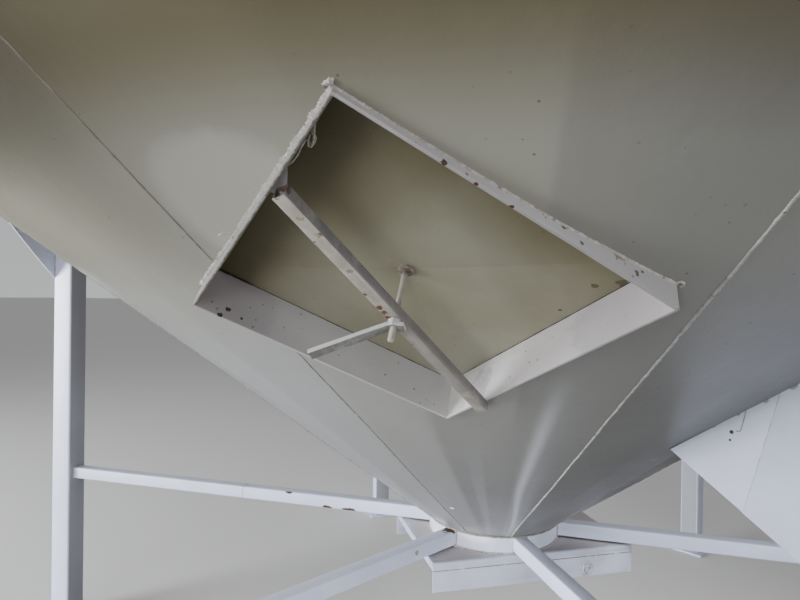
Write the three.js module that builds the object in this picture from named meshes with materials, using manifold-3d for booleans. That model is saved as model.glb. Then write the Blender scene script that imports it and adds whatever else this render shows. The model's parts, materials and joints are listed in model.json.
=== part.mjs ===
// Hopper-bottom grain silo: a smooth welded steel barrel and roof on a steep steel cone, carried by
// six square-tube legs, with six spokes tying the legs to the collar ring at the cone's mouth, a rack
// and pinion slide gate under the ring, a clamped access hatch set into the cone and an air duct box.
//
// Millimetres, +Z up, origin on the silo's centre line at ground level. Places round the silo are
// given by an azimuth in degrees: 0 is +X, 90 is -Y (the side with the hatch), 180 is -X.

import * as THREE from 'three';
import { mergeVertices } from 'three/addons/utils/BufferGeometryUtils.js';
import Module from 'manifold-3d';

const wasm = await Module();
wasm.setup();

const GAP = 0.3;
const DEGREE = Math.PI / 180;

// Shell. The round walls are drawn with 60 flat facets, whose corners start at azimuth 2.
const SHELL_RADIUS = 2134;
const SHELL_FACETS = 60;
const FACET_START = 2;
const CONE_SLOPE = Math.tan(37 * DEGREE);
const CONE_SHEET = 4;
const CONE_PANELS = 10;
const FIRST_CONE_SEAM = 68;
const BARREL_HEIGHT = 3658;
const BARREL_SHEET = 3;
const BARREL_PANELS = 6;
const FIRST_BARREL_SEAM = 32;
const ROOF_SLOPE = Math.tan(30 * DEGREE);
const ROOF_SHEET = 3;
const ROOF_EAVE = 20;
const ROOF_OVERHANG = 6;
const ROOF_HOLE_RADIUS = 300;
const NECK_HEIGHT = 90;
const NECK_WALL = 5;
const NECK_FOOT = 20;
const NECK_FOOT_PLATE = 4;
const LID_SHEET = 4;
const LID_CROWN = 36;
const LID_SKIRT = 30;
const LID_PLAY = 3;

// Collar ring at the cone's mouth
const RING_TOP = 735;
const RING_RADIUS = 247;
const RING_WALL = 6;
const RING_HEIGHT = 60;

// Legs and spokes
const LEG_COUNT = 6;
const LEG_SIZE = 101.6;
const LEG_WALL = 5;
const LEG_RADIUS = 2080;
const FOOT_SIZE = 180;
const FOOT_PLATE = 10;
const WING_WIDTH = 560;
const WING_DROP = 500;
const WING_PLATE = 6;
const WING_OVERLAP = 2;
const SPOKE_SIZE = 50.8;
const SPOKE_WALL = 3;
const SPOKE_TOP = 733;

// Slide gate, drawn along its own X axis, which points to azimuth -30
const GATE_AZIMUTH = -30;
const GATE_LEFT = -326;
const GATE_RIGHT = 445;
const GATE_HALF_WIDTH = 262;
const GATE_PLATE = 6;
const GATE_FLANGE = 20;
const GATE_CORNER = 8;
const GATE_BOTTOM = 574;
const END_LIP = 28;
const END_BAR_LEFT = -292;
const END_BAR_BOTTOM = 612;
const SHAFT_AT = 256;
const SHAFT_HEIGHT = 605;
const SHAFT_RADIUS = 12.5;
const SHAFT_STUB = 60;
const SHAFT_WASHER_RADIUS = 27;
const SHAFT_WASHER = 4;
const SHAFT_NUT_RADIUS = 19;
const SHAFT_NUT = 14;
const SHAFT_COLLAR_RADIUS = 22;
const SHAFT_COLLAR = 6;
const PINION_RADIUS = 30;
const RACK_HEIGHT = 14;
const RACK_WIDTH = 16;
const RACK_OFFSET = 150;
const RACK_BOTTOM = SHAFT_HEIGHT + PINION_RADIUS + 2 * GAP;
const SLIDE_BOTTOM = RACK_BOTTOM + RACK_HEIGHT;
const SLIDE_PLATE = 6;
const SLIDE_LEFT = -280;
const SLIDE_RIGHT = 437;
const SLIDE_HALF_WIDTH = 240;
const SLOT_DROP = 7;
const RAIL_WIDTH = 30;
const RAIL_HEIGHT = 10;

// Hatch in the cone: a square box of plates standing on one corner, sunk into the cone
const HATCH_AZIMUTH = 89.45;
const HATCH_RADIUS = 1356;
const HATCH_TURN = 0.8;
const HATCH_RAISE = 8.5;
const HATCH_SIDE = 625;
const HATCH_DEPTH = 100;
const HATCH_PLATE = 6;
const HATCH_INNER = HATCH_SIDE / 2 - HATCH_PLATE;
const COVER_PLATE = 4;
const COVER_LAP = 14;

// The threaded rod stands a little off the hatch's middle, and carries the clamp bar and the crank
const ROD_X = 6;
const ROD_Y = 28;
const ROD_RADIUS = 6;
const ROD_TIP = 62;
const ROD_WASHER_RADIUS = 16;
const ROD_WASHER = 4.7;
const ROD_HEAD_RADIUS = 14;
const ROD_HEAD = 8.7;
const BAR_WIDTH = 25;
const BAR_DEPTH = 22;
const BAR_WALL = 2;
const BAR_ANGLE = -25.4;
const BAR_TILT = 0.85;
const BAR_UPPER = 320;
const BAR_LOWER = 352;
const BAR_REAR = GAP - BAR_LOWER * Math.sin(BAR_TILT * DEGREE);
const LEDGE_PLATE = 5;
const LEDGE_REACH = 16;
const CRANK_ANGLE = 45;
const CRANK_NUT_RADIUS = 13;
const CRANK_NUT_HEIGHT = 8;
const CRANK_PLATE = 8;
const CRANK_HEEL = 20;
const CRANK_BEND = 12;
const CRANK_REACH = 148;
const CRANK_RISE = 63;
const CRANK_LOW_SIDE = 13;
const CRANK_HIGH_SIDE = 9;
const CRANK_PLAY = 1;

// Air duct box on the cone between two legs, drawn in its own vertical plane at azimuth 30
const DUCT_AZIMUTH = 30;
const DUCT_HALF_WIDTH = 280;
const DUCT_SHEET = 4;
const DUCT_TIP = 795;
const DUCT_DROP = 34.5 * DEGREE;
const DUCT_LOWER_LENGTH = 492;
const DUCT_HEIGHT = 500;
const DUCT_RIM = 20;
const DUCT_BACK = -150;

// Heights that follow from the slopes
const coneHeight = (radius) => RING_TOP + CONE_SLOPE * (radius - RING_RADIUS);
const CONE_RISE = CONE_SHEET * Math.hypot(1, CONE_SLOPE);
const BARREL_BOTTOM = coneHeight(SHELL_RADIUS) + CONE_RISE + GAP;
const BARREL_TOP = BARREL_BOTTOM + BARREL_HEIGHT;
const ROOF_RISE = ROOF_SHEET * Math.hypot(1, ROOF_SLOPE);
const roofHeight = (radius) => BARREL_TOP + GAP + ROOF_SLOPE * (SHELL_RADIUS - radius);

// Paints and metals
const paint = {
  shell: { color: 0xb9b8a9, roughness: 0.38, metalness: 0.0 },
  frame: { color: 0xd6d5d8, roughness: 0.45, metalness: 0.0 },
  hatch: { color: 0xc9c8c4, roughness: 0.45, metalness: 0.0 },
  cover: { color: 0x8f8b74, roughness: 0.5, metalness: 0.0 },
  gate: { color: 0xc7c0bd, roughness: 0.55, metalness: 0.0 },
  steel: { color: 0x8d8a84, roughness: 0.45, metalness: 0.8 },
};

const silo = new THREE.Group();

// Adds one named mesh with a finish of its own, and returns it so that it can be turned in place.
function addPiece(parent, name, solid, finish) {
  const mesh = new THREE.Mesh(toGeometry(solid), new THREE.MeshStandardMaterial(finish));
  mesh.name = name;
  parent.add(mesh);
  return mesh;
}

// Between three.js geometry and solids that can be joined and cut
function toSolid(geometry) {
  geometry.deleteAttribute('normal');
  geometry.deleteAttribute('uv');
  const merged = mergeVertices(geometry, 1e-3);
  return new wasm.Manifold(new wasm.Mesh({
    numProp: 3,
    vertProperties: Float32Array.from(merged.attributes.position.array),
    triVerts: Uint32Array.from(merged.index.array),
  }));
}

function toGeometry(solid) {
  const mesh = solid.getMesh();
  const geometry = new THREE.BufferGeometry();
  geometry.setAttribute('position', new THREE.BufferAttribute(mesh.vertProperties, 3));
  geometry.setIndex(new THREE.BufferAttribute(mesh.triVerts, 1));
  geometry.computeVertexNormals();
  return geometry;
}

// A block given by its lowest and highest corners
function block(x0, y0, z0, x1, y1, z1) {
  const geometry = new THREE.BoxGeometry(x1 - x0, y1 - y0, z1 - z0);
  geometry.translate((x0 + x1) / 2, (y0 + y1) / 2, (z0 + z1) / 2);
  return toSolid(geometry);
}

// A round bar along Z between two heights
function bar(radius, z0, z1, sides = 24) {
  const geometry = new THREE.CylinderGeometry(radius, radius, z1 - z0, sides);
  geometry.rotateX(90 * DEGREE);
  geometry.translate(0, 0, (z0 + z1) / 2);
  return toSolid(geometry);
}

// The same bar laid along Y at a place in the XZ plane
function crossBar(radius, x, z, y0, y1, sides = 24) {
  const geometry = new THREE.CylinderGeometry(radius, radius, y1 - y0, sides);
  geometry.translate(x, (y0 + y1) / 2, z);
  return toSolid(geometry);
}

// Extrudes an outline drawn in the XZ plane along Y, from y0 to y1
function slab(outline, y0, y1) {
  const shape = new THREE.Shape(outline.map(([x, z]) => new THREE.Vector2(x, z)));
  const geometry = new THREE.ExtrudeGeometry(shape, { depth: y1 - y0, bevelEnabled: false });
  geometry.rotateX(90 * DEGREE);
  geometry.translate(0, y1, 0);
  return toSolid(geometry);
}

// Turns a closed profile of [radius, height] points round the silo's centre line
function revolve(profile) {
  const points = profile.map(([radius, height]) => new THREE.Vector2(radius, height));
  points.push(points[0].clone());
  const geometry = new THREE.LatheGeometry(points, SHELL_FACETS);
  geometry.rotateX(90 * DEGREE);
  geometry.rotateZ(-FACET_START * DEGREE);
  return toSolid(geometry);
}

// An upright wedge between two azimuths, drawn in by half a gap on both sides
function wedge(from, to) {
  const half = (to - from) / 2;
  const middle = (from + to) / 2;
  const reach = 2 * SHELL_RADIUS;
  const shape = new THREE.Shape();
  shape.moveTo(GAP / 2 / Math.sin(half * DEGREE), 0);
  for (const turn of [-half, 0, half]) {
    shape.lineTo(reach * Math.cos(turn * DEGREE), reach * Math.sin(turn * DEGREE));
  }
  const geometry = new THREE.ExtrudeGeometry(shape, { depth: 3 * reach, bevelEnabled: false });
  geometry.rotateZ(-middle * DEGREE);
  return toSolid(geometry);
}

// The space above the cone's outer face, kept a gap away from it, which trims what is welded below
function coneSpace() {
  const drop = GAP * Math.hypot(1, CONE_SLOPE);
  const reach = 1.2 * SHELL_RADIUS;
  return revolve([
    [0, coneHeight(0) - drop],
    [reach, coneHeight(reach) - drop],
    [reach, coneHeight(reach) + SHELL_RADIUS],
    [0, coneHeight(reach) + SHELL_RADIUS],
  ]);
}

// Cone: ten rolled sheets with a welded seam between each two
function coneShell() {
  const mouth = RING_RADIUS - RING_WALL;
  return revolve([
    [mouth, coneHeight(mouth)],
    [SHELL_RADIUS, coneHeight(SHELL_RADIUS)],
    [SHELL_RADIUS, coneHeight(SHELL_RADIUS) + CONE_RISE],
    [mouth, coneHeight(mouth) + CONE_RISE],
  ]);
}

// The hatch's own frame: +Z out of the cone, +X to its upper left side, +Y to its lower left side
function hatchPlace() {
  const slope = Math.atan(CONE_SLOPE);
  const azimuth = HATCH_AZIMUTH * DEGREE;
  const outward = new THREE.Vector3(Math.cos(azimuth), -Math.sin(azimuth), 0);
  const left = new THREE.Vector3(-Math.sin(azimuth), -Math.cos(azimuth), 0);
  const upSlope = outward.clone().multiplyScalar(Math.cos(slope));
  upSlope.z = Math.sin(slope);
  const normal = new THREE.Vector3().crossVectors(upSlope, left);
  const side = upSlope.clone().applyAxisAngle(normal, (45 + HATCH_TURN) * DEGREE);
  const other = new THREE.Vector3().crossVectors(normal, side);
  const place = new THREE.Matrix4().makeBasis(side, other, normal);
  const centre = outward.multiplyScalar(HATCH_RADIUS).setZ(coneHeight(HATCH_RADIUS));
  place.setPosition(centre.addScaledVector(normal, HATCH_RAISE));
  return place;
}

function addCone() {
  const shell = coneShell();
  const half = HATCH_SIDE / 2 + GAP;
  const opening = block(-half, -half, -2 * HATCH_DEPTH, half, half, HATCH_DEPTH);
  const hatchHole = opening.transform(hatchPlace().elements);
  const step = 360 / CONE_PANELS;
  for (let index = 0; index < CONE_PANELS; index += 1) {
    const from = FIRST_CONE_SEAM + index * step;
    const sheet = shell.intersect(wedge(from, from + step));
    addPiece(silo, `cone_panel_${index + 1}`, sheet.subtract(hatchHole), paint.shell);
  }
}

// Barrel wall: six tall sheets standing on the cone's rim
function addBarrel() {
  const shell = revolve([
    [SHELL_RADIUS - BARREL_SHEET, BARREL_BOTTOM],
    [SHELL_RADIUS, BARREL_BOTTOM],
    [SHELL_RADIUS, BARREL_TOP],
    [SHELL_RADIUS - BARREL_SHEET, BARREL_TOP],
  ]);
  const step = 360 / BARREL_PANELS;
  for (let index = 0; index < BARREL_PANELS; index += 1) {
    const from = FIRST_BARREL_SEAM + index * step;
    addPiece(silo, `barrel_panel_${index + 1}`, shell.intersect(wedge(from, from + step)), paint.shell);
  }
}

// Roof: six cone sheets with a short eave lip, a filler neck at the top and its lid
function addRoof() {
  const eave = SHELL_RADIUS + ROOF_OVERHANG;
  const eaveHeight = roofHeight(eave);
  const shell = revolve([
    [ROOF_HOLE_RADIUS, roofHeight(ROOF_HOLE_RADIUS) + ROOF_RISE],
    [ROOF_HOLE_RADIUS, roofHeight(ROOF_HOLE_RADIUS)],
    [SHELL_RADIUS - BARREL_SHEET, roofHeight(SHELL_RADIUS - BARREL_SHEET)],
    [SHELL_RADIUS + GAP, roofHeight(SHELL_RADIUS)],
    [SHELL_RADIUS + GAP, BARREL_TOP - ROOF_EAVE],
    [eave, BARREL_TOP - ROOF_EAVE],
    [eave, eaveHeight + ROOF_RISE],
  ]);
  const step = 360 / BARREL_PANELS;
  for (let index = 0; index < BARREL_PANELS; index += 1) {
    const from = FIRST_BARREL_SEAM + step / 2 + index * step;
    addPiece(silo, `roof_panel_${index + 1}`, shell.intersect(wedge(from, from + step)), paint.shell);
  }
  const neckBottom = roofHeight(ROOF_HOLE_RADIUS) + ROOF_RISE + GAP;
  const neckTop = neckBottom + NECK_HEIGHT;
  const footTop = neckBottom + NECK_FOOT_PLATE;
  addPiece(silo, 'roof_neck', revolve([
    [ROOF_HOLE_RADIUS, neckBottom],
    [ROOF_HOLE_RADIUS + NECK_FOOT, neckBottom],
    [ROOF_HOLE_RADIUS + NECK_FOOT, footTop],
    [ROOF_HOLE_RADIUS + NECK_WALL, footTop],
    [ROOF_HOLE_RADIUS + NECK_WALL, neckTop],
    [ROOF_HOLE_RADIUS, neckTop],
  ]), paint.shell);
  const lidInner = ROOF_HOLE_RADIUS + NECK_WALL + LID_PLAY;
  const lidOuter = lidInner + LID_SHEET;
  addPiece(silo, 'roof_lid', revolve([
    [0, neckTop + LID_CROWN + LID_SHEET],
    [0, neckTop + LID_CROWN],
    [ROOF_HOLE_RADIUS, neckTop + GAP],
    [lidInner, neckTop + GAP],
    [lidInner, neckTop - LID_SKIRT],
    [lidOuter, neckTop - LID_SKIRT],
    [lidOuter, neckTop + LID_SHEET],
  ]), paint.shell);
}

// Collar ring: its top edge is bevelled to the cone that is welded on it
function addRing() {
  const bore = RING_RADIUS - RING_WALL;
  const bottom = RING_TOP - RING_HEIGHT;
  addPiece(silo, 'collar_ring', revolve([
    [bore, bottom],
    [RING_RADIUS, bottom],
    [RING_RADIUS, coneHeight(RING_RADIUS) - 2 * GAP],
    [bore, coneHeight(bore) - 2 * GAP],
  ]), paint.frame);
}

// Legs: square tube with a foot plate, cut to the cone, and a rolled gusset plate on each side
function legSolid(trim) {
  const half = LEG_SIZE / 2;
  const inner = half - LEG_WALL;
  const top = BARREL_BOTTOM;
  const tube = block(LEG_RADIUS - half, -half, FOOT_PLATE / 2, LEG_RADIUS + half, half, top);
  const hollow = block(LEG_RADIUS - inner, -inner, FOOT_PLATE, LEG_RADIUS + inner, inner, top + 1);
  const halfFoot = FOOT_SIZE / 2;
  const foot = block(LEG_RADIUS - halfFoot, -halfFoot, 0, LEG_RADIUS + halfFoot, halfFoot, FOOT_PLATE);
  return tube.subtract(hollow).add(foot).add(wingPlates()).subtract(trim);
}

function wingPlates() {
  const half = LEG_SIZE / 2;
  const outer = LEG_RADIUS + half;
  const rolled = revolve([
    [outer - WING_PLATE, coneHeight(0)],
    [outer, coneHeight(0)],
    [outer, BARREL_BOTTOM],
    [outer - WING_PLATE, BARREL_BOTTOM],
  ]);
  const rim = coneHeight(outer);
  const start = half - WING_OVERLAP;
  const side = (sign) => new THREE.Shape([
    new THREE.Vector2(sign * start, rim - WING_DROP),
    new THREE.Vector2(sign * (half + WING_WIDTH), rim),
    new THREE.Vector2(sign * (half + WING_WIDTH), rim + 50),
    new THREE.Vector2(sign * start, rim + 50),
  ]);
  const solids = [1, -1].map((sign) => {
    const geometry = new THREE.ExtrudeGeometry(side(sign), { depth: half * 4, bevelEnabled: false });
    geometry.rotateX(90 * DEGREE);
    geometry.rotateZ(90 * DEGREE);
    geometry.translate(LEG_RADIUS - half, 0, 0);
    return rolled.intersect(toSolid(geometry));
  });
  return solids[0].add(solids[1]);
}

// Spokes: square tube, open at both ends, from the ring's outer face to the leg's inner face
function spokeSolid(ring) {
  const half = SPOKE_SIZE / 2;
  const inner = half - SPOKE_WALL;
  const start = RING_RADIUS - 10;
  const end = LEG_RADIUS - LEG_SIZE / 2 - GAP;
  const middle = SPOKE_TOP - half;
  const tube = block(start, -half, middle - half, end, half, middle + half);
  const hollow = block(start - 1, -inner, middle - inner, end + 1, inner, middle + inner);
  return tube.subtract(hollow).subtract(ring);
}

function addLegsAndSpokes() {
  const trim = coneSpace();
  const leg = legSolid(trim);
  const ring = revolve([
    [0, RING_TOP - 2 * RING_HEIGHT],
    [RING_RADIUS + GAP, RING_TOP - 2 * RING_HEIGHT],
    [RING_RADIUS + GAP, RING_TOP + RING_HEIGHT],
    [0, RING_TOP + RING_HEIGHT],
  ]);
  const spoke = spokeSolid(ring);
  for (let index = 0; index < LEG_COUNT; index += 1) {
    const azimuth = index * 360 / LEG_COUNT;
    addPiece(silo, `leg_${index + 1}`, leg, paint.frame).rotation.z = -azimuth * DEGREE;
    addPiece(silo, `spoke_${index + 1}`, spoke, paint.frame).rotation.z = -azimuth * DEGREE;
  }
}

// Slide gate under the ring. The plate's long sides and its left end are turned down.
function gateTop() {
  const top = RING_TOP - RING_HEIGHT - GAP;
  const bottom = top - GATE_FLANGE;
  const flat = top - GATE_PLATE;
  const outline = new THREE.Shape();
  outline.moveTo(-GATE_HALF_WIDTH, bottom);
  outline.lineTo(-GATE_HALF_WIDTH + GATE_PLATE, bottom);
  outline.lineTo(-GATE_HALF_WIDTH + GATE_PLATE, flat);
  outline.lineTo(GATE_HALF_WIDTH - GATE_PLATE, flat);
  outline.lineTo(GATE_HALF_WIDTH - GATE_PLATE, bottom);
  outline.lineTo(GATE_HALF_WIDTH, bottom);
  outline.absarc(GATE_HALF_WIDTH - GATE_CORNER, top - GATE_CORNER, GATE_CORNER, 0, 90 * DEGREE, false);
  outline.absarc(GATE_CORNER - GATE_HALF_WIDTH, top - GATE_CORNER, GATE_CORNER, 90 * DEGREE, Math.PI, false);
  const geometry = new THREE.ExtrudeGeometry(outline, {
    depth: GATE_RIGHT - GATE_LEFT,
    bevelEnabled: false,
    curveSegments: 4,
  });
  geometry.rotateX(90 * DEGREE);
  geometry.rotateZ(90 * DEGREE);
  geometry.translate(GATE_LEFT, 0, 0);
  const lipHalf = GATE_HALF_WIDTH - GATE_PLATE - GAP;
  const lip = block(GATE_LEFT, -lipHalf, top - END_LIP, GATE_LEFT + GATE_PLATE, lipHalf, top);
  const throat = bar(RING_RADIUS - RING_WALL, bottom, top + 1, 48);
  return toSolid(geometry).add(lip).subtract(throat);
}

// Side walls, end plates and the two rails that the slide runs on, in one welded frame. The right
// end plate is low, so that the slide and its racks pass over it. The left end is closed by a bar,
// which stands back from the ends of the side walls.
function gateFrame() {
  const top = RING_TOP - RING_HEIGHT - GAP - GATE_FLANGE - GAP;
  const inner = GATE_HALF_WIDTH - GATE_PLATE;
  const right = GATE_RIGHT - GATE_PLATE;
  const outer = block(GATE_LEFT, -GATE_HALF_WIDTH, GATE_BOTTOM, GATE_RIGHT, GATE_HALF_WIDTH, top);
  const space = block(GATE_LEFT - 1, -inner, GATE_BOTTOM - 1, right, inner, top + 1);
  const slot = block(right - 1, -inner, RACK_BOTTOM - SLOT_DROP, GATE_RIGHT + 1, inner, top + 1);
  const endBar = block(
    END_BAR_LEFT,
    -inner - 1,
    END_BAR_BOTTOM,
    END_BAR_LEFT + GATE_PLATE,
    inner + 1,
    top,
  );
  let frame = outer.subtract(space).subtract(slot).add(endBar);
  const railTop = SLIDE_BOTTOM - GAP;
  for (const sign of [-1, 1]) {
    const edges = [sign * (inner + 1), sign * (inner - RAIL_WIDTH)].sort((one, two) => one - two);
    const rail = block(END_BAR_LEFT, edges[0], railTop - RAIL_HEIGHT, GATE_RIGHT, edges[1], railTop);
    frame = frame.add(rail);
  }
  const reach = 2 * GATE_HALF_WIDTH;
  return frame.subtract(crossBar(SHAFT_RADIUS + GAP, SHAFT_AT, SHAFT_HEIGHT, -reach, reach));
}

// The slide and its two racks, which rest on the pinions
function gateSlide() {
  const top = SLIDE_BOTTOM + SLIDE_PLATE;
  const width = SLIDE_HALF_WIDTH;
  let slide = block(SLIDE_LEFT, -width, SLIDE_BOTTOM, SLIDE_RIGHT, width, top);
  const half = RACK_WIDTH / 2;
  for (const y of [-RACK_OFFSET, RACK_OFFSET]) {
    const rack = block(SLIDE_LEFT, y - half, RACK_BOTTOM, SLIDE_RIGHT, y + half, SLIDE_BOTTOM + 1);
    slide = slide.add(rack);
  }
  return slide;
}

// Pinion shaft: a washer and nut close it on the near side, and a plain end stands out at the back
function gateShaft() {
  const face = GATE_HALF_WIDTH + GAP;
  const along = (radius, from, to, sides) => crossBar(radius, SHAFT_AT, SHAFT_HEIGHT, from, to, sides);
  const washerFace = -face - SHAFT_WASHER;
  let shaft = along(SHAFT_RADIUS, washerFace, face + SHAFT_STUB);
  for (const y of [-RACK_OFFSET, RACK_OFFSET]) {
    shaft = shaft.add(along(PINION_RADIUS, y - RACK_WIDTH, y + RACK_WIDTH));
  }
  shaft = shaft.add(along(SHAFT_WASHER_RADIUS, washerFace, -face));
  shaft = shaft.add(along(SHAFT_NUT_RADIUS, washerFace - SHAFT_NUT, washerFace + 1, 6));
  return shaft.add(along(SHAFT_COLLAR_RADIUS, face, face + SHAFT_COLLAR));
}

function addGate() {
  const gate = new THREE.Group();
  gate.rotation.z = -GATE_AZIMUTH * DEGREE;
  silo.add(gate);
  addPiece(gate, 'gate_top_plate', gateTop(), paint.gate);
  addPiece(gate, 'gate_frame', gateFrame(), paint.gate);
  addPiece(gate, 'gate_slide', gateSlide(), paint.steel);
  addPiece(gate, 'gate_shaft', gateShaft(), paint.steel);
}

// Hatch: the frame box, the cover pulled against its inner end, the rod, the bar and the crank.
// The clamp bar slants across the frame: its upper end sits inside, on a ledge of the upper left
// plate, and its lower end lies over the lower right plate.
function hatchFrame() {
  const half = HATCH_SIDE / 2;
  const outside = block(-half, -half, -HATCH_DEPTH, half, half, 0);
  const space = block(-HATCH_INNER, -HATCH_INNER, -HATCH_DEPTH - 1, HATCH_INNER, HATCH_INNER, 1);
  const turn = BAR_ANGLE * DEGREE;
  const middle = ROD_Y + BAR_UPPER * Math.sin(turn);
  const rear = BAR_REAR - BAR_UPPER * Math.sin(BAR_TILT * DEGREE);
  const shape = new THREE.Shape([
    new THREE.Vector2(HATCH_INNER + 1, middle + BAR_WIDTH),
    new THREE.Vector2(HATCH_INNER - LEDGE_REACH, middle + 0.8 * BAR_WIDTH),
    new THREE.Vector2(HATCH_INNER - LEDGE_REACH, middle - 0.2 * BAR_WIDTH),
    new THREE.Vector2(HATCH_INNER + 1, middle - 1.8 * BAR_WIDTH),
  ]);
  const geometry = new THREE.ExtrudeGeometry(shape, { depth: LEDGE_PLATE, bevelEnabled: false });
  geometry.translate(0, 0, rear - 2 * GAP - LEDGE_PLATE);
  return outside.subtract(space).add(toSolid(geometry));
}

function hatchCover() {
  const half = HATCH_SIDE / 2 + COVER_LAP;
  const top = -HATCH_DEPTH - GAP;
  const cover = block(-half, -half, top - COVER_PLATE, half, half, top);
  const hole = bar(ROD_RADIUS + GAP, top - 2 * COVER_PLATE, top + 1, 16);
  return cover.subtract(hole.translate([ROD_X, ROD_Y, 0]));
}

function hatchRod() {
  const face = -HATCH_DEPTH;
  const back = face - GAP - COVER_PLATE;
  const rod = bar(ROD_RADIUS, back - 2, ROD_TIP, 16);
  const washer = bar(ROD_WASHER_RADIUS, face, face + ROD_WASHER);
  const head = bar(ROD_HEAD_RADIUS, back - GAP - ROD_HEAD, back - GAP, 6);
  return rod.add(washer).add(head);
}

function clampBar() {
  const half = BAR_WIDTH / 2;
  const inner = half - BAR_WALL;
  const outside = block(-BAR_LOWER, -half, 0, BAR_UPPER, half, BAR_DEPTH);
  const inside = block(-BAR_LOWER - 1, -inner, BAR_WALL, BAR_UPPER + 1, inner, BAR_DEPTH - BAR_WALL);
  const hole = bar(ROD_RADIUS + 1, -1, BAR_DEPTH + 1, 16);
  const tube = outside.subtract(inside).subtract(hole);
  return tube.rotate([0, BAR_TILT, 0]).translate([0, 0, BAR_REAR]).rotate([0, 0, BAR_ANGLE]);
}

// Crank: a nut on the rod, with a flat bar welded across it that is bent outwards to the hand
function hatchHandle() {
  const bottom = BAR_REAR + BAR_DEPTH + CRANK_PLAY;
  const low = bottom + CRANK_NUT_HEIGHT;
  const high = low + CRANK_PLATE;
  const arm = slab([
    [-CRANK_HEEL, low],
    [CRANK_BEND, low],
    [CRANK_REACH, low + CRANK_RISE],
    [CRANK_REACH - CRANK_PLATE / 2, high + CRANK_RISE],
    [CRANK_BEND - CRANK_PLATE / 4, high],
    [-CRANK_HEEL, high],
  ], -CRANK_HIGH_SIDE, CRANK_LOW_SIDE);
  const nut = bar(CRANK_NUT_RADIUS, bottom, high, 6);
  const hole = bar(ROD_RADIUS + GAP, bottom - 1, high + 1, 16);
  return nut.add(arm).subtract(hole).rotate([0, 0, CRANK_ANGLE]);
}

function addHatch() {
  const hatch = new THREE.Group();
  hatchPlace().decompose(hatch.position, hatch.quaternion, hatch.scale);
  silo.add(hatch);
  addPiece(hatch, 'hatch_frame', hatchFrame(), paint.hatch);
  addPiece(hatch, 'hatch_cover', hatchCover(), paint.cover);
  const rodPlace = new THREE.Group();
  rodPlace.position.set(ROD_X, ROD_Y, 0);
  hatch.add(rodPlace);
  addPiece(rodPlace, 'hatch_rod', hatchRod(), paint.steel);
  addPiece(rodPlace, 'clamp_bar', clampBar(), paint.hatch);
  addPiece(rodPlace, 'hatch_handle', hatchHandle(), paint.hatch);
}

// Air duct: a square sheet-metal box that leaves the cone outwards and downwards, with a blank end.
// A place on it is given along its lower wall from the tip on the cone, and across from that wall.
function ductPoint(along, across) {
  const cos = Math.cos(DUCT_DROP);
  const sin = Math.sin(DUCT_DROP);
  const tipHeight = coneHeight(Math.hypot(DUCT_TIP, DUCT_HALF_WIDTH));
  return [DUCT_TIP + along * cos + across * sin, tipHeight - along * sin + across * cos];
}

function ductSection(inset) {
  return [
    ductPoint(DUCT_BACK, inset),
    ductPoint(DUCT_LOWER_LENGTH + inset, inset),
    ductPoint(DUCT_LOWER_LENGTH + inset, DUCT_HEIGHT - inset),
    ductPoint(DUCT_BACK, DUCT_HEIGHT - inset),
  ];
}

function addDuct() {
  const duct = new THREE.Group();
  duct.rotation.z = -DUCT_AZIMUTH * DEGREE;
  silo.add(duct);
  const inner = DUCT_HALF_WIDTH - DUCT_SHEET;
  const outside = slab(ductSection(0), -DUCT_HALF_WIDTH, DUCT_HALF_WIDTH);
  const inside = slab(ductSection(DUCT_SHEET), -inner, inner);
  addPiece(duct, 'duct_box', outside.subtract(inside).subtract(coneSpace()), paint.frame);

  const near = DUCT_LOWER_LENGTH + GAP;
  const far = near + 2 * DUCT_SHEET;
  const cover = slab([
    ductPoint(near, -DUCT_RIM),
    ductPoint(far, -DUCT_RIM),
    ductPoint(far, DUCT_HEIGHT + DUCT_RIM),
    ductPoint(near, DUCT_HEIGHT + DUCT_RIM),
  ], -DUCT_HALF_WIDTH - DUCT_RIM, DUCT_HALF_WIDTH + DUCT_RIM);
  addPiece(duct, 'duct_cover', cover, paint.frame);
}

addCone();
addBarrel();
addRoof();
addRing();
addLegsAndSpokes();
addGate();
addHatch();
addDuct();

export default silo;
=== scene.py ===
# %% [markdown]
# The grain silo stands on six legs, and its steep cone hangs between them. The imported CAD model is the
# fixed frame of this scene: every piece below is made in metres, in that frame, so it needs no fitting.

import json
import math

import bmesh
import bpy
from mathutils import Matrix, Vector, noise

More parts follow.
